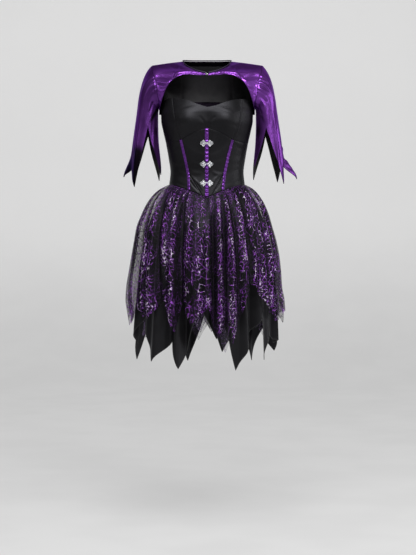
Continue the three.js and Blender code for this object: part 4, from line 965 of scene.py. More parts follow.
def material(key):
    """Each finish is made once, when the first piece asks for it."""
    if key in MATERIALS:
        return MATERIALS[key]
    look = looks()
    makers = {
        "black_satin": lambda: satin("black_satin", look.black, (0.86, 0.86, 0.9), 0.45, 0.32, 0.32),
        # The skirt's satin is the bodice's black satin painted lighter, standing in for the light on the
        # skirt
        "skirt_satin_painted_light": lambda: satin("skirt_satin_painted_light", look.skirt_satin_painted_light, (0.86, 0.86, 0.9), 0.38, 0.3, 0.4),
        # The purple satin's last colour is the near-black of its painted shade
        "purple_satin": lambda: satin("purple_satin", look.purple, look.purple_shine, 0.31, 0.84, 0.3,
                                      (0.07, 0.06, 0.08)),
        "ribbon_satin": lambda: satin("ribbon_satin", look.ribbon, look.purple_shine, 0.26, 0.6, 0.35),
        "black_lining": lambda: matt_cloth("black_lining", (0.085, 0.08, 0.09)),
        "neck_binding": lambda: matt_cloth("neck_binding", (0.10, 0.06, 0.14)),
        "web_tulle": lambda: web_net("web_tulle", look.net, look.web, (0.90, 0.84, 0.94),
                                     look.net_cover, 0.85, cut().web_cell),
        "pale_tulle": lambda: web_net("pale_tulle", (0.42, 0.39, 0.46), (0.50, 0.38, 0.60),
                                      (0.9, 0.86, 0.95), 0.24, 0.7, cut().web_cell),
        "silver_metal": lambda: silver("silver_metal"),
        "clasp_stone": lambda: stone_glass("clasp_stone"),
        "purple_thread": lambda: thread("purple_thread", (0.30, 0.17, 0.40)),
        "black_thread": lambda: thread("black_thread", (0.07, 0.065, 0.075)),
        "satin_roll": lambda: thread("satin_roll", (0.055, 0.053, 0.058)),
    }
    MATERIALS[key] = makers[key]()
    return MATERIALS[key]


# Bodice

# Stands for the side seam in along_seam
SIDE = 999


def along_seam(table, x0, x1):
    def angle_of(x):
        if abs(x) == SIDE:
            return math.copysign(90 * DEG, x)
        return float(front_angle(x, read_straight(table, x)))
    a0, a1 = angle_of(x0), angle_of(x1)

    def at(t):
        a = mix(a0, a1, np.asarray(t, float))
        return np.stack((a, seam_height(table, a)), -1)
    return at


def along_line(rows):
    flat = chain(rows)

    def at(t):
        p = flat(np.asarray(t, float))
        return np.stack((front_angle(p[..., 0], p[..., 1]), p[..., 1]), -1)
    return at


def up_the_side(sign, low, high):
    a = sign * 90 * DEG
    z0, z1 = float(seam_height(low, a)), float(seam_height(high, a))

    def at(t):
        t = np.asarray(t, float)
        return np.stack((np.full(t.shape, a), mix(z0, z1, t)), -1)
    return at


def settle_tables():
    """Seams that meet share one height."""
    for rows, seam, end in ((PRINCESS_LEFT, SWEETHEART, -1), (PRINCESS_RIGHT, SWEETHEART, -1),
                            (RIBBON_LEFT, WAIST_SEAM, 0), (RIBBON_RIGHT, WAIST_SEAM, 0),
                            (GORE_LEFT, WAIST_SEAM, 0), (GORE_RIGHT, WAIST_SEAM, 0)):
        rows[end, 1] = read_straight(seam, rows[end, 0])


def bodice_panel(node, down, up, left, right, columns, rows, sewn, creases, seed, back=False):
    s = np.linspace(0, 1, columns + 1)[:, None]
    t = np.linspace(0, 1, rows + 1)[None]
    flat = coons(down, up, left, right)(s, t)
    angle, z = flat[..., 0], flat[..., 1]
    base = body_base(angle, z)
    edge = edge_distance(base, sewn)
    x = -base[..., 0] if back else base[..., 0]
    lift = PANEL_CREASE * creased(x, z, creases) * cut().crease
    near = np.exp(-(edge / 8) ** 2)
    around = lengths(base, 1) + lengths(base, 0)
    lift += ripple(around, seed, 9.0) * near * cut().pucker / MM
    lift *= fade(edge, 0, 7) * 0.8 + 0.2
    lift -= cut().seam_roll / MM * np.exp(-(edge / 1.9) ** 2)
    outer = body(angle, z, lift)
    inner = body(angle, z, np.minimum(lift, 0.4) - CLOTH)
    piece = cloth_piece(f"cloth_{node}", outer, inner, material("black_satin"), [node])
    return piece


def sew_bodice():
    settle_tables()
    bust = (PRINCESS_LEFT[0, 0], PRINCESS_RIGHT[0, 0])
    top = (PRINCESS_LEFT[-1, 0], PRINCESS_RIGHT[-1, 0])
    ribbon = (RIBBON_LEFT[0, 0], RIBBON_RIGHT[0, 0])
    gore = (GORE_LEFT[0, 0], GORE_RIGHT[0, 0])
    every = ("left", "right", "down", "up")
    no_top = ("left", "right", "down")
    z = GORE_TOP_Z
    bodice_panel("bust_front_centre", along_seam(UNDERBUST, *bust), along_seam(SWEETHEART, *top),
                 along_line(PRINCESS_LEFT), along_line(PRINCESS_RIGHT), 120, 64, no_top,
                 BUST_CREASES, 1)
    bodice_panel("bust_side_left", along_seam(UNDERBUST, -SIDE, bust[0]),
                 along_seam(SWEETHEART, -SIDE, top[0]), up_the_side(-1, UNDERBUST, SWEETHEART),
                 along_line(PRINCESS_LEFT), 44, 64, no_top, BUST_CREASES, 2)
    bodice_panel("bust_side_right", along_seam(UNDERBUST, bust[1], SIDE),
                 along_seam(SWEETHEART, top[1], SIDE), along_line(PRINCESS_RIGHT),
                 up_the_side(1, UNDERBUST, SWEETHEART), 44, 64, no_top, BUST_CREASES, 3)
    bodice_panel("midriff_front_centre", along_seam(WAIST_SEAM, *gore), along_seam(UNDERBUST, *bust),
                 along_line(np.vstack((GORE_LEFT, (-57.5, 0), RIBBON_LEFT[2:]))),
                 along_line(np.vstack((GORE_RIGHT, (53.7, 0), RIBBON_RIGHT[2:]))),
                 72, 96, every, MIDRIFF_CREASES, 4)
    bodice_panel("front_gore_left", along_seam(WAIST_SEAM, ribbon[0], gore[0]),
                 along_line([(-56.8, z), (-54, z)]), along_line([RIBBON_LEFT[0], (-56.8, z)]),
                 along_line([GORE_LEFT[0], (-54, z)]), 28, 32, every, MIDRIFF_CREASES, 5)
    bodice_panel("front_gore_right", along_seam(WAIST_SEAM, gore[1], ribbon[1]),
                 along_line([(50, z), (52.6, z)]), along_line([GORE_RIGHT[0], (50, z)]),
                 along_line([RIBBON_RIGHT[0], (52.6, z)]), 28, 32, every, MIDRIFF_CREASES, 6)
    bodice_panel("midriff_side_left", along_seam(WAIST_SEAM, -SIDE, ribbon[0]),
                 along_seam(UNDERBUST, -SIDE, bust[0]), up_the_side(-1, WAIST_SEAM, UNDERBUST),
                 along_line(RIBBON_LEFT), 50, 84, every, SIDE_CREASES, 7)
    bodice_panel("midriff_side_right", along_seam(WAIST_SEAM, ribbon[1], SIDE),
                 along_seam(UNDERBUST, bust[1], SIDE), along_line(RIBBON_RIGHT),
                 up_the_side(1, WAIST_SEAM, UNDERBUST), 50, 84, every, SIDE_CREASES, 8)
    for node, start, end, seed in (("bodice_back_right", 90, 180, 9), ("bodice_back_left", 180, 270, 10)):
        side = 90 * DEG if start == 90 else -90 * DEG
        side_top = float(seam_height(SWEETHEART, side))

        def bottom(s, start=start, end=end):
            a = mix(start, end, np.asarray(s, float)) * DEG
            return np.stack((a, waist_height(a)), -1)

        def upper(s, start=start, end=end, side_top=side_top):
            a = mix(start, end, np.asarray(s, float)) * DEG
            return np.stack((a, mix(BODICE_BACK_TOP_Z, side_top, np.sin(a) ** 2)), -1)

        def edge(s, bottom=bottom, upper=upper):
            return lambda t: mix(bottom(s), upper(s), np.asarray(t, float)[..., None])
        bodice_panel(node, bottom, upper, edge(0.0), edge(1.0), 84, 84, no_top,
                     BODICE_BACK_CREASES, seed, back=True)


# Ribbons

def lay_ribbon(node, rows, width, count, wave, seed):
    """Ribbon over a seam, with waves along it and turned edges."""
    line = chain(rows)
    t = np.linspace(0, 1, count)
    p = line(t)
    along = unit(np.gradient(p, axis=0))
    k = np.linspace(-1, 1, 9)[:, None]
    place = run(p)
    edge = 1 + 0.05 * ripple(place, seed, 16.0)
    x = p[None, :, 0] + k * width * edge * along[None, :, 1] / 2
    z = p[None, :, 1] - k * width * edge * along[None, :, 0] / 2
    hills = (0.5 + 0.5 * ripple(place, seed + 1, 12.0) + 0.5 * np.sin(2 * np.pi * place / 11.5))
    crown = 1 - k**2
    lift = SEAM + RIBBON_STAND + wave * (hills[None] * (0.45 + 0.55 * crown))
    lift = lift - 0.5 * np.abs(k) ** 6
    angle = front_angle(x, z)
    outer = body(angle, z, lift)
    inner = body(angle, z, lift - RIBBON_WALL)
    piece = cloth_piece(f"satin_{node}", outer, inner, material("ribbon_satin"), [node])
    return piece


def sew_ribbons():
    wave = cut().ribbon_wave / MM
    lay_ribbon("ribbon_centre", [(-0.8, -72.6), (-0.8, 131)], CENTRE_RIBBON, 190, wave, 21)
    for node, rows, seed in (("ribbon_left", RIBBON_LEFT, 24), ("ribbon_right", RIBBON_RIGHT, 27)):
        rows = rows.copy()
        rows[0, 1] += 2
        lay_ribbon(node, rows, SIDE_RIBBON, 150, wave * 0.35, seed)


# Clasps

def curl(centre, start, turns, outer, inner, side):
    """Spiral scroll of wire on the plate."""
    t = np.linspace(0, 1, 26)
    a = start + side * turns * 2 * math.pi * t
    r = mix(outer, inner, t)
    return np.stack((centre[0] + r * np.cos(a), centre[1] + r * np.sin(a), np.full(26, 3.0)), -1)


def cast_clasps():
    for number, height in enumerate(CLASP_HEIGHTS, 1):
        for name, side in (("left", -1), ("right", 1)):
            metal = Trim()
            outline = chain(PLATE + PLATE[:1])(np.linspace(0, 1, 61)[:-1])
            metal.tube(np.column_stack((outline, np.full(60, 2.9))), 0.75, 6, closed=True)
            inner = (outline - PLATE_MIDDLE) * INNER_RIM_SHARE + PLATE_MIDDLE
            metal.tube(np.column_stack((inner, np.full(60, 3.1))), 0.42, 6, closed=True)
            for half in (-1, 1):
                for u, v, start, lean, turns, wide, narrow, wire in SCROLLS:
                    metal.tube(curl((u, v * half), start + lean * half, turns, wide, narrow, half), wire, 5)
                metal.tube([(6.6, 1.2 * half, 3), (8.2, 2.8 * half, 3.2), (9.6, 8.2 * half, 3)], 0.4, 5)
            for u, v in PLATE[1:-1]:
                metal.ball((u, v, 3.1), 1.05, 0.9)
            for u, v in outline[::3]:
                metal.ball((u, v, 3.6), 0.5)
            if side < 0:
                metal.tube([(-3.2, 0, 2.9), (-1.6, 0, 3.3), (0.4, 0, 3.4), (1.2, 0, 2.9)], 0.8, 6)
            else:
                turn = np.linspace(0, 2 * math.pi, 17)[:-1]
                eye = np.stack((0.2 + 1.9 * np.cos(turn), 1.5 * np.sin(turn), turn * 0 + 2.9), -1)
                metal.tube(eye, 0.5, 6, closed=True)

            def place(points, side=side, height=height):
                x = CLASP_X + points[:, 0] * side
                z = height + points[:, 1]
                return body(front_angle(x, z), z, points[:, 2])
            metal.piece(f"filigree_clasp_{number}_{name}", material("silver_metal"),
                        [f"clasp_{number}_{name}"], "silver_metal", place)
            stones = Trim()
            for u, v, r in STONES:
                stones.stone((u, v, 3.2), r, r * 0.7)
            stones.piece(f"stones_clasp_{number}_{name}", material("clasp_stone"), [], "silver_metal",
                         place, smooth_angle=8)


# Skirt

# Half the gap at the side seams, as an angle
SIDE_GAP = SEAM / 12 / 120


def stand_out(table, angle, depth, front_share):
    """Distance from the waist seam outwards, less to the front and the back than to the sides."""
    k = smooth((1 + np.sin(angle)) / 2)
    out = mix(read(table, 1, depth), read(table, 2, depth), k)
    share = mix(1, front_share, np.cos(angle) ** 2)
    return np.where(out > 0, out * share, out)


def skirt_out(layer, angle, depth, fold):
    out = stand_out(layer["out"], angle, depth, layer["front"])
    return out - read(FOLD_DEPTH, 1, depth) * layer["folds"] * (1 - fold)


def angle_at(layer, x, z, fold):
    low, high = -89 * DEG, 89 * DEG
    for _ in range(40):
        middle = np.array((low + high) / 2)
        top = waist_height(middle) - SEAM / 2
        base = body_base(middle, top)
        out = skirt_out(layer, middle, np.maximum(0, top - z), fold)
        if float(base[..., 0] + out * np.sin(middle)) < x:
            low = float(middle)
        else:
            high = float(middle)
    return (low + high) / 2


def hem_by_angle(layer):
    """Rows of angle, z and fold from -90 to 270 degrees."""
    front = [(*row, 0)[:3] for row in layer["hem"]]
    back = [(*row, 0)[:3] for row in layer["back"]]
    rows = [(-90 * DEG, *back[-1][1:])]
    rows += [(angle_at(layer, x, z, fold), z, fold) for x, z, fold in front]
    rows += [(degrees * DEG, z, fold) for degrees, z, fold in back]
    return np.array(rows, float)


def fold_at(hem, angle):
    i = np.clip(np.searchsorted(hem[:, 0], angle, side="right") - 1, 0, len(hem) - 2)
    t = np.clip((angle - hem[i, 0]) / np.maximum(hem[i + 1, 0] - hem[i, 0], 1e-6), 0, 1)
    return mix(hem[i, 2], hem[i + 1, 2], smooth(t))


def gather_lift(angle, depth, count, deepest, seed, reach):
    """Gathers of uneven spacing, depth and length that run down from the waist seam."""
    rng = np.random.default_rng(seed)
    step = 2 * math.pi / count
    lift = np.zeros(np.broadcast_shapes(angle.shape, depth.shape))
    for k in range(count):
        centre = -math.pi / 2 + (k + rng.uniform(-0.3, 0.3)) * step
        deep = deepest * rng.uniform(0.45, 1.25)
        long = reach * rng.uniform(0.35, 1.7)
        wide = step * rng.uniform(0.16, 0.3)
        drift = rng.uniform(-0.35, 0.35) * step
        off = angle - centre - drift * np.clip(depth / 200, 0, 1)
        off = (off + math.pi) % (2 * math.pi) - math.pi
        shape = np.exp(-((off / (wide * (1 + depth / 160))) ** 2))
        lift -= deep * shape * fade(depth, 0, 14) * np.exp(-((depth / long) ** 2))
        crest = np.exp(-(((off - step * 0.42) / (step * 0.3)) ** 2))
        lift += 0.35 * deep * crest * fade(depth, 2, 26) * np.exp(-((depth / (long * 1.3)) ** 2))
    return lift


def long_folds(angle, depth, rows):
    """Folds down the whole length: a narrow trough with a softer ridge on each side."""
    lift = np.zeros(np.broadcast_shapes(angle.shape, depth.shape))
    turned = [(BACK_TURN - top, BACK_TURN - low, width * 1.1, deep * 0.9) for top, low, width, deep in rows]
    for top, low, width, deep in [*rows, *turned]:
        centre = mix(top, low, np.clip(depth / 340, 0, 1)) * DEG
        off = (angle - centre) / (width * DEG)
        lift = lift - deep * np.exp(-off**2)
        lift = lift + 0.45 * deep * np.exp(-(((off - 2.1) / 1.1) ** 2))
        lift = lift + 0.35 * deep * np.exp(-(((off + 2.0) / 1.2) ** 2))
    return lift * fade(depth, 6, 90)


LAYERS = {
    "overlay": {"out": OVERLAY_OUT, "front": 0.88, "folds": 1.0, "hem": OVERLAY_HEM,
                "back": OVERLAY_BACK_HEM, "columns": 380, "rows": 84, "look": "web_tulle"},
    "satin": {"out": SATIN_OUT, "front": 0.74, "folds": 0.8, "hem": SATIN_HEM,
              "back": SATIN_BACK_HEM, "columns": 230, "rows": 56, "look": "skirt_satin_painted_light"},
    "under": {"out": UNDER_OUT, "front": 0.74, "folds": 0.7, "hem": UNDER_HEM,
              "back": UNDER_BACK_HEM, "columns": 180, "rows": 44, "look": "pale_tulle"},
}


def layer_lift(name, angle, depth):
    """Gathers, long folds and uneven waves of one layer."""
    if name == "overlay":
        lift = gather_lift(angle, depth, cut().gathers, cut().gather_depth / MM, 5, 130)
        lift = lift + gather_lift(angle + 0.04, depth, 30, 2.4, 8, 420) * fade(depth, 40, 160)
        lift = lift + long_folds(angle, depth, OVERLAY_FOLDS)
        return lift + 1.4 * ripple(angle * 300 + depth * 0.25, 3, 70.0) * fade(depth, 60, 200)
    if name == "satin":
        lift = gather_lift(angle, depth, 26, 2.4, 15, 520) * fade(depth, 30, 180)
        lift = lift + long_folds(angle, depth, SATIN_FOLDS) * fade(depth, 60, 260)
        return lift + 1.2 * ripple(angle * 300 - depth * 0.2, 13, 90.0) * fade(depth, 60, 200)
    return gather_lift(angle, depth, 30, 3.4, 25, 400) * fade(depth, 30, 180)


def skirt_grid(name, start, end, overlay_hem, hem):
    """Points of a layer between two angles, and how far each stands on a crest."""
    layer = LAYERS[name]
    a = np.linspace(start * DEG + SIDE_GAP, end * DEG - SIDE_GAP, layer["columns"] + 1)
    for key in hem[(hem[:, 0] > a[0] + 0.004) & (hem[:, 0] < a[-1] - 0.004), 0]:
        a[np.argmin(np.abs(a - key))] = key
    t = np.linspace(1, 0, layer["rows"] + 1)[None] ** 1.25
    angle = a[:, None]
    top = waist_height(a)[:, None] - SEAM / 2
    low = np.interp(a, hem[:, 0], hem[:, 1])[:, None]
    z = mix(top, low, t)
    depth = top - z
    base = body_base(angle, top)
    fold = fold_at(overlay_hem, a)[:, None]
    lift = layer_lift(name, angle, depth)
    out = skirt_out(layer, angle, depth, fold) + lift
    # Crest share of each point; the net's shader paints highlights on crests and shade in the hollows from it
    crest = np.clip(0.45 + lift / 16 + (0.12 + 0.2 * fold) * fade(depth, 150, 380), 0, 1)
    return xyz(base[..., 0] + out * np.sin(angle), base[..., 1] - out * np.cos(angle), z), crest


def sew_skirt():
    hems = {name: hem_by_angle(layer) for name, layer in LAYERS.items()}
    for name, layer in LAYERS.items():
        for half, start, end in (("front", -90, 90), ("back", 90, 270)):
            node = f"skirt_{name}_{half}"
            grid, crest = skirt_grid(name, start, end, hems["overlay"], hems[name])
            inner = None
            if name == "satin":
                inner = grid - grid_normals(grid) * SATIN_WALL
            piece = cloth_piece(f"cloth_{node}", grid, inner, material(layer["look"]), [node],
                                values={"crest": crest}, inside=0.5, gathered=True)
            if name == "satin":
                hem_line = grid[:, 0] - grid_normals(grid)[:, 0] * SATIN_WALL / 2
                roll = Trim()
                roll.tube(hem_line, 0.95, 6, level=grid_normals(grid)[:, 0])
                roll.piece(f"rolled_hem_{half}", material("satin_roll"), [],
                                              "black_satin")


# Bolero

def side_edge(rows, side):
    arm = soft_chain(rows, side)
    foot = np.array(KEYHOLE[-1], float) * (side, 1, 1)
    end = arm(1.0)

    def at(t):
        t = np.asarray(t, float)
        low = mix(end, foot, np.clip((t[..., None] - ARM_SHARE) / (1 - ARM_SHARE), 0, 1))
        return np.where(t[..., None] < ARM_SHARE, arm(t / ARM_SHARE), low)
    return at


def halves(first, second, share=0.5):
    """Two curves joined end to end."""
    def at(s):
        s = np.asarray(s, float)
        return np.where(s[..., None] < share, first(s / share), second((s - share) / (1 - share)))
    return at


def push_out(p, out):
    """Keeps points outside the bodice by at least out mm."""
    w = read(BODY, 1, p[..., 2])
    depth = np.where(p[..., 1] < 0, read(BODY, 2, p[..., 2]), read(BODY, 3, p[..., 2]))
    size = ((np.abs(p[..., 0]) / w) ** BODY_SQUARENESS
            + (np.abs(p[..., 1]) / depth) ** BODY_SQUARENESS) ** (1 / BODY_SQUARENESS)
    need = (1 + out / np.minimum(w, depth)) / size
    scale = np.where((p[..., 2] > BODICE_CLEAR_Z) | (need < 1), 1, need)
    return p * np.stack((scale, scale, np.ones_like(scale)), -1)


def bolero_relief(grid, sewn, creases, seed, mirror=False):
    edge = edge_distance(grid, sewn)
    x = -grid[..., 0] if mirror else grid[..., 0]
    lift = creased(x, grid[..., 2], creases) * cut().crease
    around = lengths(grid, 1) + lengths(grid, 0)
    lift += ripple(around, seed, 13.0) * np.exp(-((edge / 10) ** 2)) * cut().pucker / MM * 1.4
    lift *= fade(edge, 0, 9) * 0.85 + 0.15
    lift -= cut().seam_roll / MM * np.exp(-((edge / 2.2) ** 2))
    return lift


def bolero_shell(grid, normals, lift):
    """Outside and inside of a part with a turned and stitched lower hem."""
    from_hem = edge_distance(grid, ("down",))
    lift = lift + HEM_RISE * fade(from_hem, HEM_STITCH + 0.7, HEM_STITCH - 0.7)
    lift = lift - HEM_RISE * np.exp(-(((from_hem - HEM_STITCH) / GROOVE) ** 2))
    outer = grid + normals * lift[..., None]
    inner = grid + normals * (np.minimum(lift, INSIDE_RELIEF) - CLOTH)[..., None]
    return outer, inner, from_hem


def sew_bolero_front(name, side, creases):
    """Returns the line of its topstitches."""
    lower = soft_chain(KEYHOLE, side)
    upper = halves(soft_chain(NECKLINE, side), soft_chain(SHOULDER, side))
    arm = side_edge(ARMHOLE_FRONT, side)
    patch = coons(lower, upper, lambda t: mix(lower(0.0), upper(0.0), np.asarray(t, float)[..., None]),
                  lambda t: arm(1 - np.asarray(t, float)), ARM_REACH)
    s = np.linspace(0, 1, 131)[:, None]
    t = np.linspace(0, 1, 61)[None]
    swell = FRONT_BULGE * 16 * s * (1 - s) * t * (1 - t)
    grid = patch(s, t) + swell[..., None] * np.array((0.2 * side, -1, 0.25))
    if side < 0:
        grid = grid[::-1]
    normals = grid_normals(grid)
    lift = bolero_relief(grid, ("up", name), creases, 31 + side)
    outer, inner, from_hem = bolero_shell(grid, normals, lift)
    # Painted shade: the purple is darkened up the shoulders
    piece = cloth_piece(f"cloth_bolero_front_{name}", outer, inner, material("purple_satin"),
                        [f"bolero_front_{name}"],
                        values={"painted_shade": SHOULDER_PAINTED_SHADE * fade(grid[..., 2], *SHOULDER_PAINTED_SHADE_Z)}, inside=1.0)
    row = np.abs(from_hem - HEM_STITCH).argmin(axis=1)
    line = (outer + normals * STITCH_STAND)[np.arange(len(row)), row]
    return line[4:-8]


def sew_bolero():
    lines = {"left": sew_bolero_front("left", -1, BOLERO_LEFT_CREASES),
             "right": sew_bolero_front("right", 1, BOLERO_RIGHT_CREASES)}
    for name, line in lines.items():
        run_stitches(f"keyhole_stitches_{name}", line)
    sew_bolero_back()


def sew_bolero_back():
    right, left = soft_chain(SHOULDER, 1), soft_chain(SHOULDER, -1)
    neck_right, neck_left = soft_chain(NECK_BACK, 1), soft_chain(NECK_BACK, -1)
    foot = np.array(KEYHOLE[-1], float)

    def hem(s):
        p = body(mix(90, 270, s) * DEG, np.full(np.shape(s), BACK_HEM_Z), BACK_HEM_STAND)
        near = np.maximum(0, 1 - np.minimum(s, 1 - s) / SIDE_BLEND)[..., None] ** 2
        target = np.broadcast_to(foot, p.shape).copy()
        target[..., 0] *= np.where(s < 0.5, 1, -1)
        return mix(p, target, near)

    def top(s):
        k, n = SHOULDER_SHARE, 0.5 - SHOULDER_SHARE
        at = s[..., None]
        left_half = np.where(at < 0.5 + n, neck_left(1 - (s - 0.5) / n), left((s - 0.5 - n) / k))
        return np.where(at < k, right(1 - s / k), np.where(at < 0.5, neck_right((s - k) / n), left_half))

    s = np.linspace(0, 1, 171)
    t = np.linspace(0, 1, 61)[None]
    low, high = hem(s)[:, None], top(s)[:, None]
    grid = mix(low, high, t[..., None])
    right_half = (s < 0.5)[:, None, None]
    arms = np.where(right_half, side_edge(ARMHOLE_BACK, 1)(1 - t), side_edge(ARMHOLE_BACK, -1)(1 - t))
    ends = np.where(right_half, grid[:1], grid[-1:])
    grid = grid + (arms - ends) * (np.cos(math.pi * s) ** 2)[:, None, None]
    swell = BACK_BULGE * 16 * (s * (1 - s))[:, None] * t * (1 - t)
    grid[..., 1] += swell
    grid[1:-1] = push_out(grid[1:-1], BACK_HEM_STAND)
    normals = grid_normals(grid)
    lift = bolero_relief(grid, ("left", "right", "up"), BACK_CREASES, 41, mirror=True)
    outer, inner, _ = bolero_shell(grid, normals, lift)
    piece = cloth_piece("cloth_bolero_back", outer, inner, material("purple_satin"), ["bolero_back"],
                        values={"painted_shade": 0.0}, inside=1.0)
    # Lining of the back, seen through the keyhole
    part = BACK_LINING_PART
    behind = (inner - normals * SEAM)[part]
    piece = cloth_piece("cloth_bolero_back_lining", behind, behind - normals[part] * LINING_WALL,
                        material("black_lining"), ["bolero_back_lining"])


# Sleeves

def arm_loop(side):
    front, back = soft_chain(ARMHOLE_FRONT, side), soft_chain(ARMHOLE_BACK, side)

    def at(deg):
        d = np.mod(deg, 360)
        return np.where((d <= 180)[..., None], front(d / 180), back((360 - d) / 180))
    return at


def sleeve_ring(side, deg, z):
    out, inner, deep = (read(SLEEVE, k, z) for k in (1, 2, 3))
    c, s = np.cos(deg * DEG), np.sin(deg * DEG)
    away = ((deg + 190) % 360 - 180) / FLICK_SPREAD
    flick = (FLICK_LEFT if side < 0 else FLICK_RIGHT) * fade(z, FLICK_TOP_Z, FLICK_END_Z) * np.exp(-away**2)
    x = side * ((out + inner) / 2 + (out - inner) / 2 * power(c, 0.9) + flick)
    return xyz(x, SLEEVE_MID_Y - deep * power(s, 0.9), z)


def sleeve_grid(side, hem, deg, t):
    start = arm_loop(side)(deg) + (SEAM * side, 0, 0)
    end_z = np.interp(deg, hem[:, 0], hem[:, 1])
    c = np.cos(deg * DEG)
    cap_z = np.minimum(SLEEVE_CAP_Z, start[..., 2] - 14)
    deg, start, end_z, cap_z, c = deg[:, None], start[:, None], end_z[:, None], cap_z[:, None], c[:, None]
    t = t[None]
    z = mix(cap_z, end_z, np.clip((t - CAP_SHARE) / (1 - CAP_SHARE), 0, 1))
    lower = sleeve_ring(side, np.broadcast_to(deg, z.shape), z)
    end = sleeve_ring(side, deg, cap_z)
    control = end.copy()
    control[..., 2] = mix(cap_z, start[..., 2] - 24 * np.clip(0.3 + c, 0, 1), 0.95)
    control[..., 0] -= side * 9 * np.clip(c, 0, 1)
    u = np.clip(t / CAP_SHARE, 0, 1)[..., None]
    cap = start * (1 - u) ** 2 + control * 2 * u * (1 - u) + end * u * u
    return np.where(t[..., None] < CAP_SHARE, cap, lower)


def sleeve_relief(sleeve, grid, hem, deg, angle):
    """Creases, the eased head of the sleeve and the swing of the hem's points."""
    z = grid[..., 2]
    # Points stand a little out and notches a little in
    i = np.clip(np.searchsorted(hem[:, 0], deg, side="right") - 1, 0, len(hem) - 2)
    share = (deg - hem[i, 0]) / (hem[i + 1, 0] - hem[i, 0])
    tone = np.where(hem[i, 1] < hem[i + 1, 1], 1 - 2 * smooth(share), 2 * smooth(share) - 1)
    swing = POINT_SWING * tone[:, None] * fade(z, 170, 20)
    # Degrees turn into millimetres at about 1 to 1 on this arm
    lift = np.zeros(grid.shape[:2])
    for turn in (-360, 0, 360):
        lift += creased(angle + turn, z, sleeve["creases"]) * cut().crease * sleeve["crease_share"]
    from_top = edge_distance(grid, ("up",))
    lift *= fade(from_top, 0, 12) * 0.8 + 0.2
    easing = ripple(run(grid[:, -1]), 51 + sleeve["side"], 11.0)[:, None] * np.exp(-((from_top / 9) ** 2))
    lift += easing * cut().pucker / MM * sleeve["easing"]
    return lift + swing - 1.2 * np.exp(-((from_top / 2.2) ** 2))


def sleeve_painted_shade(sleeve, grid, angle):
    """Share of black in the purple: painted shade over the left sleeve and a little of the right, on the
    inner side and along folds; darker towards the low points and along the seam at the top.
    """
    z = grid[..., 2]
    # Painted shade: the left sleeve, turned from the lights, is darkened all over and more towards its low
    # points; the right a little, and more at its outer point
    if sleeve["side"] < 0:
        painted_shade = 0.42 + fade(z, 92, 58) * np.exp(-(((angle - 46) / 46) ** 2))
        painted_shade = np.maximum(painted_shade, fade(z, 70, 40) * (angle < 70) * (angle > -60))
        painted_shade = np.maximum(painted_shade, fade(z, 40, 10) * 0.85)
    else:
        painted_shade = 0.14 + np.exp(-(((angle - 20) / 13) ** 2)) * fade(z, 70, 20) * 0.7
    # Painted shade on the inner side, where the bodice's shadow falls
    inner_side = np.exp(-(((angle - 150) / 34) ** 2))
    painted_shade = np.maximum(painted_shade, np.exp(-(((z - 126) / 26) ** 2)) * inner_side * 0.85)
    # Painted shade along the listed folds
    painted_shade = np.maximum(painted_shade, creased(angle, z, sleeve["shade"]))
    seam = np.exp(-((edge_distance(grid, ("up",)) / 1.6) ** 2)) * 0.8
    return np.clip(np.maximum(painted_shade, seam), 0, 1)


def sew_sleeves():
    for name, sleeve in SLEEVES.items():
        side, rows = sleeve["side"], sleeve["hem"]
        hem = np.array(rows + [(rows[0][0] + 360, rows[0][1])], float)
        deg = np.linspace(hem[0, 0], hem[-1, 0], 169)[:-1]
        for key in hem[:-1, 0]:
            deg[np.argmin(np.abs(deg - key))] = key
        t = np.concatenate((np.linspace(0, CAP_SHARE, 31), np.linspace(CAP_SHARE, 1, 53)[1:]))
        grid = sleeve_grid(side, hem, deg, t)[:, ::-1]
        angle = np.broadcast_to(deg[:, None], grid.shape[:2])
        lift = sleeve_relief(sleeve, grid, hem, deg, angle)
        if side > 0:
            grid, lift, angle = grid[::-1], lift[::-1], angle[::-1]
        normals = grid_normals(grid, around=True)
        outer = grid + normals * lift[..., None]
        inner = outer - normals * CLOTH
        # The sleeves' darker purple is painted shade
        piece = cloth_piece(f"cloth_sleeve_{name}", outer, inner, material("purple_satin"),
                            [f"sleeve_{name}"], around=True,
                            values={"painted_shade": sleeve_painted_shade(sleeve, grid, angle)}, inside=1.0)
        low = SLEEVE_LINING_ROWS
        behind = (inner - normals * SEAM)[:, :low]
        piece = cloth_piece(f"cloth_sleeve_lining_{name}", behind, behind - normals[:, :low] * LINING_WALL,
                            material("black_lining"), [f"sleeve_lining_{name}"], around=True)


# Stitches and small trim

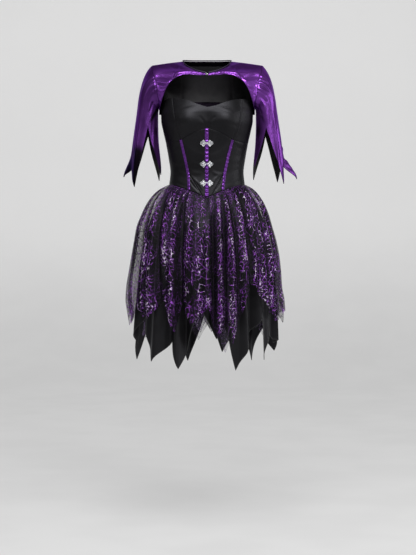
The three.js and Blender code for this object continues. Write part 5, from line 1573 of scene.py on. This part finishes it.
def stitch_tree():
    """Geometry Nodes: a stitch of thread at every step along a line."""
    tree = bpy.data.node_groups.get("stitch_run")
    if tree:
        return tree
    tree = bpy.data.node_groups.new("stitch_run", "GeometryNodeTree")
    face = tree.interface
    face.new_socket("Geometry", in_out="INPUT", socket_type="NodeSocketGeometry")
    for label, value in (("Spacing", cut().stitch_gap), ("Stitch Length", cut().stitch_length),
                         ("Thread Radius", THREAD_RADIUS * MM)):
        socket = face.new_socket(label, in_out="INPUT", socket_type="NodeSocketFloat")
        socket.default_value = value
        socket.subtype = "DISTANCE"
    face.new_socket("Thread", in_out="INPUT", socket_type="NodeSocketMaterial")
    face.new_socket("Geometry", in_out="OUTPUT", socket_type="NodeSocketGeometry")
    nodes = tree.nodes
    entry, end = nodes.new("NodeGroupInput"), nodes.new("NodeGroupOutput")
    to_curve = nodes.new("GeometryNodeMeshToCurve")
    to_points = nodes.new("GeometryNodeCurveToPoints")
    to_points.mode = "LENGTH"
    grain = nodes.new("GeometryNodeMeshUVSphere")
    for key, value in (("Segments", 6), ("Rings", 5), ("Radius", 1.0)):
        grain.inputs[key].default_value = value
    half = nodes.new("ShaderNodeMath")
    half.operation = "MULTIPLY"
    half.inputs[1].default_value = 0.5
    size = nodes.new("ShaderNodeCombineXYZ")
    place = nodes.new("GeometryNodeInstanceOnPoints")
    real = nodes.new("GeometryNodeRealizeInstances")
    paint = nodes.new("GeometryNodeSetMaterial")
    for start, out, into, key in (
            (entry, "Geometry", to_curve, 0), (to_curve, 0, to_points, "Curve"),
            (entry, "Spacing", to_points, "Length"), (entry, "Stitch Length", half, 0),
            (entry, "Thread Radius", size, "X"), (entry, "Thread Radius", size, "Y"),
            (half, 0, size, "Z"), (to_points, "Points", place, "Points"),
            (to_points, "Rotation", place, "Rotation"), (grain, "Mesh", place, "Instance"),
            (size, 0, place, "Scale"), (place, 0, real, 0), (real, 0, paint, "Geometry"),
            (entry, "Thread", paint, "Material"), (paint, 0, end, 0)):
        tree.links.new(start.outputs[out], into.inputs[key])
    return tree


def run_stitches(name, line):
    mesh = bpy.data.meshes.new(f"{name}_line")
    mesh.from_pydata((line * MM).tolist(), [(i, i + 1) for i in range(len(line) - 1)], [])
    carrier = bpy.data.objects.new(f"{name}_line", mesh)
    bpy.context.scene.collection.objects.link(carrier)
    tree = stitch_tree()
    modifier = carrier.modifiers.new("stitches", "NODES")
    modifier.node_group = tree
    values = {"Spacing": cut().stitch_gap, "Stitch Length": cut().stitch_length,
              "Thread": material("purple_thread")}
    for socket in tree.interface.items_tree:
        if socket.in_out == "INPUT" and socket.name in values:
            modifier[socket.identifier] = values[socket.name]
    ready = carrier.evaluated_get(bpy.context.evaluated_depsgraph_get())
    stitches = bpy.data.meshes.new_from_object(ready)
    stitches.name = name
    bpy.data.objects.remove(carrier)
    stitches.shade_smooth()
    if not stitches.materials:
        stitches.materials.append(material("purple_thread"))
    piece = bpy.data.objects.new(name, stitches)
    bpy.context.scene.collection.objects.link(piece)
    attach(piece, "root")
    return piece


def bind_neck():
    """Binding along the neck edge, open at the centre front."""
    front_left, front_right = soft_chain(NECKLINE, -1), soft_chain(NECKLINE, 1)
    back_left, back_right = soft_chain(NECK_BACK, -1), soft_chain(NECK_BACK, 1)
    path = np.concatenate((front_left(np.linspace(0, 1, 46)), back_left(np.linspace(0, 1, 36))[1:],
                           back_right(np.linspace(1, 0, 36))[1:], front_right(np.linspace(1, 0, 46))[1:]))
    away = unit(xyz(path[:, 0], path[:, 1] - 2, 0))
    centre = path + away * -0.6 + (0, 0, SEAM + 1.6)
    wave = ripple(run(path), 61, 22.0)[:, None]
    centre = centre + away * 0.15 * wave
    turn = np.arange(12) * math.pi / 6
    profile = np.stack((1.0 * power(np.cos(turn), 0.8), 1.65 * power(np.sin(turn), 0.8)), -1)
    binding = Trim()
    binding.sweep(centre, away, np.broadcast_to((0.0, 0.0, 1.0), path.shape), profile)
    binding.piece("bias_neck_binding", material("neck_binding"), ["neck_binding"], "neck_binding")


def fasten_neck():
    """Hook and eye, each with two loops of thread."""
    turn = np.linspace(0, 2 * math.pi, 29)[:-1]
    x, y, z, r = FASTENER_X, FASTENER_Y, FASTENER_Z, FASTENER_RING
    hook = Trim()
    hook.tube(np.stack((r * np.cos(turn) - x, turn * 0 + y, z + r * np.sin(turn)), -1), WIRE, 8,
              closed=True, level=(0, 1, 0))
    hook.piece("wire_neck_hook", material("silver_metal"), ["neck_hook"], "silver_metal")
    eye = Trim()
    eye.tube(np.stack((r * np.cos(turn) + x, y + r * np.sin(turn), turn * 0 + z), -1), WIRE, 8,
             closed=True)
    eye.piece("wire_neck_eye", material("silver_metal"), ["neck_eye"], "silver_metal")
    loops = Trim()
    for side in (-1, 1):
        for k, (dx, dz) in enumerate(((3.6, 1.5), (3.9, -1.2))):
            ring = np.stack((side * (dx + 1.5 * np.cos(turn)), y - 0.4 + 1.1 * np.sin(turn),
                             z + dz + 0.8 * np.sin(turn + k)), -1)
            loops.tube(ring, 0.32, 5, closed=True, level=(0, 0, 1))
    loops.piece("neck_thread_loops", material("black_thread"), [], "neck_binding")


def sew_trim():
    bind_neck()
    fasten_neck()


# Stage

# Metres and watts
WORLD_LIGHT = 0.15
BACKDROP_GLOW = 0.455
FLOOR_Z, WALL_Y, WALL_BEND, SWEEP_TOP = -1.107, 6.5, 2.5, 0.1
HALF_STAGE, STAGE_FRONT, STAGE_TOP = 9.0, -8.0, 8.0
PAPER_LOW, GLOW_LOW = 0.30, 1.36
LENS_MM = 88.5
CAMERA_PLACE, CAMERA_AIM = (0.003, -4.2, -0.215), (0.003, 0, -0.319)
# name, place, aim, size, power
SOFTBOXES = (
    ("front_softbox", (0.2, -2.9, 2.6), (0, 0, 0.1), (3.0, 1.05), 172),
    ("top_softbox", (0.1, -1.7, 3.0), (0, 0, 0.3), (1.8, 0.5), 36),
    ("middle_softbox", (1.0, -3.5, 1.0), (0, 0, -0.2), (1.8, 0.5), 18),
    ("side_softbox", (2.4, -2.8, 0.5), (0, 0, -0.1), (0.5, 1.6), 9),
    ("right_softbox", (3.0, -0.2, 0.5), (0, 0, 0.0), (0.9, 2.0), 30),
    ("left_softbox", (-2.8, -1.6, 1.6), (0, 0, 0.2), (0.6, 1.2), 6),
)


def build_backdrop():
    """Paper sweep: a floor that bends up into a wall."""
    look = looks()
    profile = [(STAGE_FRONT, FLOOR_Z)]
    for k in range(17):
        a = k / 16 * math.pi / 2
        profile.append((WALL_Y - WALL_BEND + WALL_BEND * math.sin(a),
                        FLOOR_Z + WALL_BEND - WALL_BEND * math.cos(a)))
    profile.append((WALL_Y, STAGE_TOP))
    points = [(x, y, z) for x in (-HALF_STAGE, HALF_STAGE) for y, z in profile]
    n = len(profile)
    mesh = bpy.data.meshes.new("backdrop")
    mesh.from_pydata(points, [], [(k, n + k, n + k + 1, k + 1) for k in range(n - 1)])
    mesh.shade_smooth()
    s = Shader("backdrop_paper")
    grain = s.noise(s.object_place(), 3.0, 2.0)
    level = s.add("ShaderNodeSeparateXYZ", {0: s.object_place()}).outputs["Z"]
    height = s.ramp(level, FLOOR_Z, SWEEP_TOP)
    paper = s.colour(height, linear(look.backdrop, PAPER_LOW), linear(look.backdrop))
    glow = s.colour(height, linear(look.backdrop, GLOW_LOW), linear(look.backdrop))
    s.set(Base_Color=s.colour(s.ramp(grain, 0.3, 0.7, 0.0, 0.04), paper, (1.0, 1.0, 1.0, 1.0)),
          Roughness=0.9, Specular_IOR_Level=0.1, Emission_Color=glow,
          Emission_Strength=BACKDROP_GLOW)
    mesh.materials.append(s.material)
    backdrop = bpy.data.objects.new("backdrop", mesh)
    bpy.context.scene.collection.objects.link(backdrop)


def aim_at(placed, place, aim):
    placed.location = place
    placed.rotation_euler = (Vector(aim) - Vector(place)).to_track_quat("-Z", "Y").to_euler()
    bpy.context.scene.collection.objects.link(placed)


def build_stage():
    build_backdrop()
    scene = bpy.context.scene
    scene.view_settings.view_transform = "Standard"
    world = bpy.data.worlds.new("studio")
    world.use_nodes = True
    sky = world.node_tree.nodes["Background"]
    sky.inputs["Color"].default_value = (1.0, 0.995, 0.985, 1)
    sky.inputs["Strength"].default_value = WORLD_LIGHT
    scene.world = world
    for name, place, aim, size, watts in SOFTBOXES:
        light = bpy.data.lights.new(name, "AREA")
        light.shape = "RECTANGLE"
        light.size, light.size_y = size
        light.energy = watts
        aim_at(bpy.data.objects.new(name, light), place, aim)
    camera = bpy.data.cameras.new("photo_camera")
    camera.sensor_fit = "AUTO"
    camera.sensor_width = 36
    camera.lens = LENS_MM
    scene.camera = bpy.data.objects.new("photo_camera", camera)
    aim_at(scene.camera, CAMERA_PLACE, CAMERA_AIM)


# Operators

class COSTUME_OT_bodice(bpy.types.Operator):
    """Sew the ten panels of the bodice"""
    bl_idname = "costume.bodice"
    bl_label = "Sew Bodice"

    def execute(self, context):
        sew_bodice()
        return {"FINISHED"}


class COSTUME_OT_ribbons(bpy.types.Operator):
    """Lay the three satin ribbons over the bodice's front"""
    bl_idname = "costume.ribbons"
    bl_label = "Lay Ribbons"

    def execute(self, context):
        sew_ribbons()
        return {"FINISHED"}


class COSTUME_OT_clasps(bpy.types.Operator):
    """Cast the three filigree clasps with their stones"""
    bl_idname = "costume.clasps"
    bl_label = "Cast Clasps"

    def execute(self, context):
        cast_clasps()
        return {"FINISHED"}


class COSTUME_OT_skirt(bpy.types.Operator):
    """Gather the three layers of the pointed skirt"""
    bl_idname = "costume.skirt"
    bl_label = "Gather Skirt"

    def execute(self, context):
        sew_skirt()
        return {"FINISHED"}


class COSTUME_OT_bolero(bpy.types.Operator):
    """Sew the bolero's fronts, back, lining and topstitching"""
    bl_idname = "costume.bolero"
    bl_label = "Sew Bolero"

    def execute(self, context):
        sew_bolero()
        return {"FINISHED"}


class COSTUME_OT_sleeves(bpy.types.Operator):
    """Set in the pointed sleeves and their linings"""
    bl_idname = "costume.sleeves"
    bl_label = "Set Sleeves"

    def execute(self, context):
        sew_sleeves()
        return {"FINISHED"}


class COSTUME_OT_trim(bpy.types.Operator):
    """Bind the neck edge and fasten its hook and eye"""
    bl_idname = "costume.trim"
    bl_label = "Add Trim"

    def execute(self, context):
        sew_trim()
        return {"FINISHED"}


class COSTUME_OT_stage(bpy.types.Operator):
    """Set the plain backdrop, the soft lights and the camera"""
    bl_idname = "costume.stage"
    bl_label = "Set Stage"

    def execute(self, context):
        build_stage()
        return {"FINISHED"}


class COSTUME_PT_maker(bpy.types.Panel):
    """Sizes, colours and making steps of the costume"""
    bl_label = "Witch Costume"
    bl_space_type = "VIEW_3D"
    bl_region_type = "UI"
    bl_category = "Costume"

    def draw(self, context):
        for group in (context.scene.costume_cut, context.scene.costume_looks):
            box = self.layout.box()
            for key in group.__annotations__:
                box.prop(group, key)
        for step in STEPS:
            self.layout.operator(step.bl_idname)


STEPS = (COSTUME_OT_bodice, COSTUME_OT_ribbons, COSTUME_OT_clasps, COSTUME_OT_skirt,
         COSTUME_OT_bolero, COSTUME_OT_sleeves, COSTUME_OT_trim, COSTUME_OT_stage)
CLASSES = (CostumeCut, CostumeLooks, *STEPS, COSTUME_PT_maker)


def register():
    for entry in CLASSES:
        bpy.utils.register_class(entry)
    bpy.types.Scene.costume_cut = bpy.props.PointerProperty(type=CostumeCut)
    bpy.types.Scene.costume_looks = bpy.props.PointerProperty(type=CostumeLooks)


def unregister():
    del bpy.types.Scene.costume_looks
    del bpy.types.Scene.costume_cut
    for entry in reversed(CLASSES):
        bpy.utils.unregister_class(entry)


def main():
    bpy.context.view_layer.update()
    register()
    for step in STEPS:
        getattr(bpy.ops.costume, step.bl_idname.split(".")[1])()


if __name__ == "__main__":
    main()
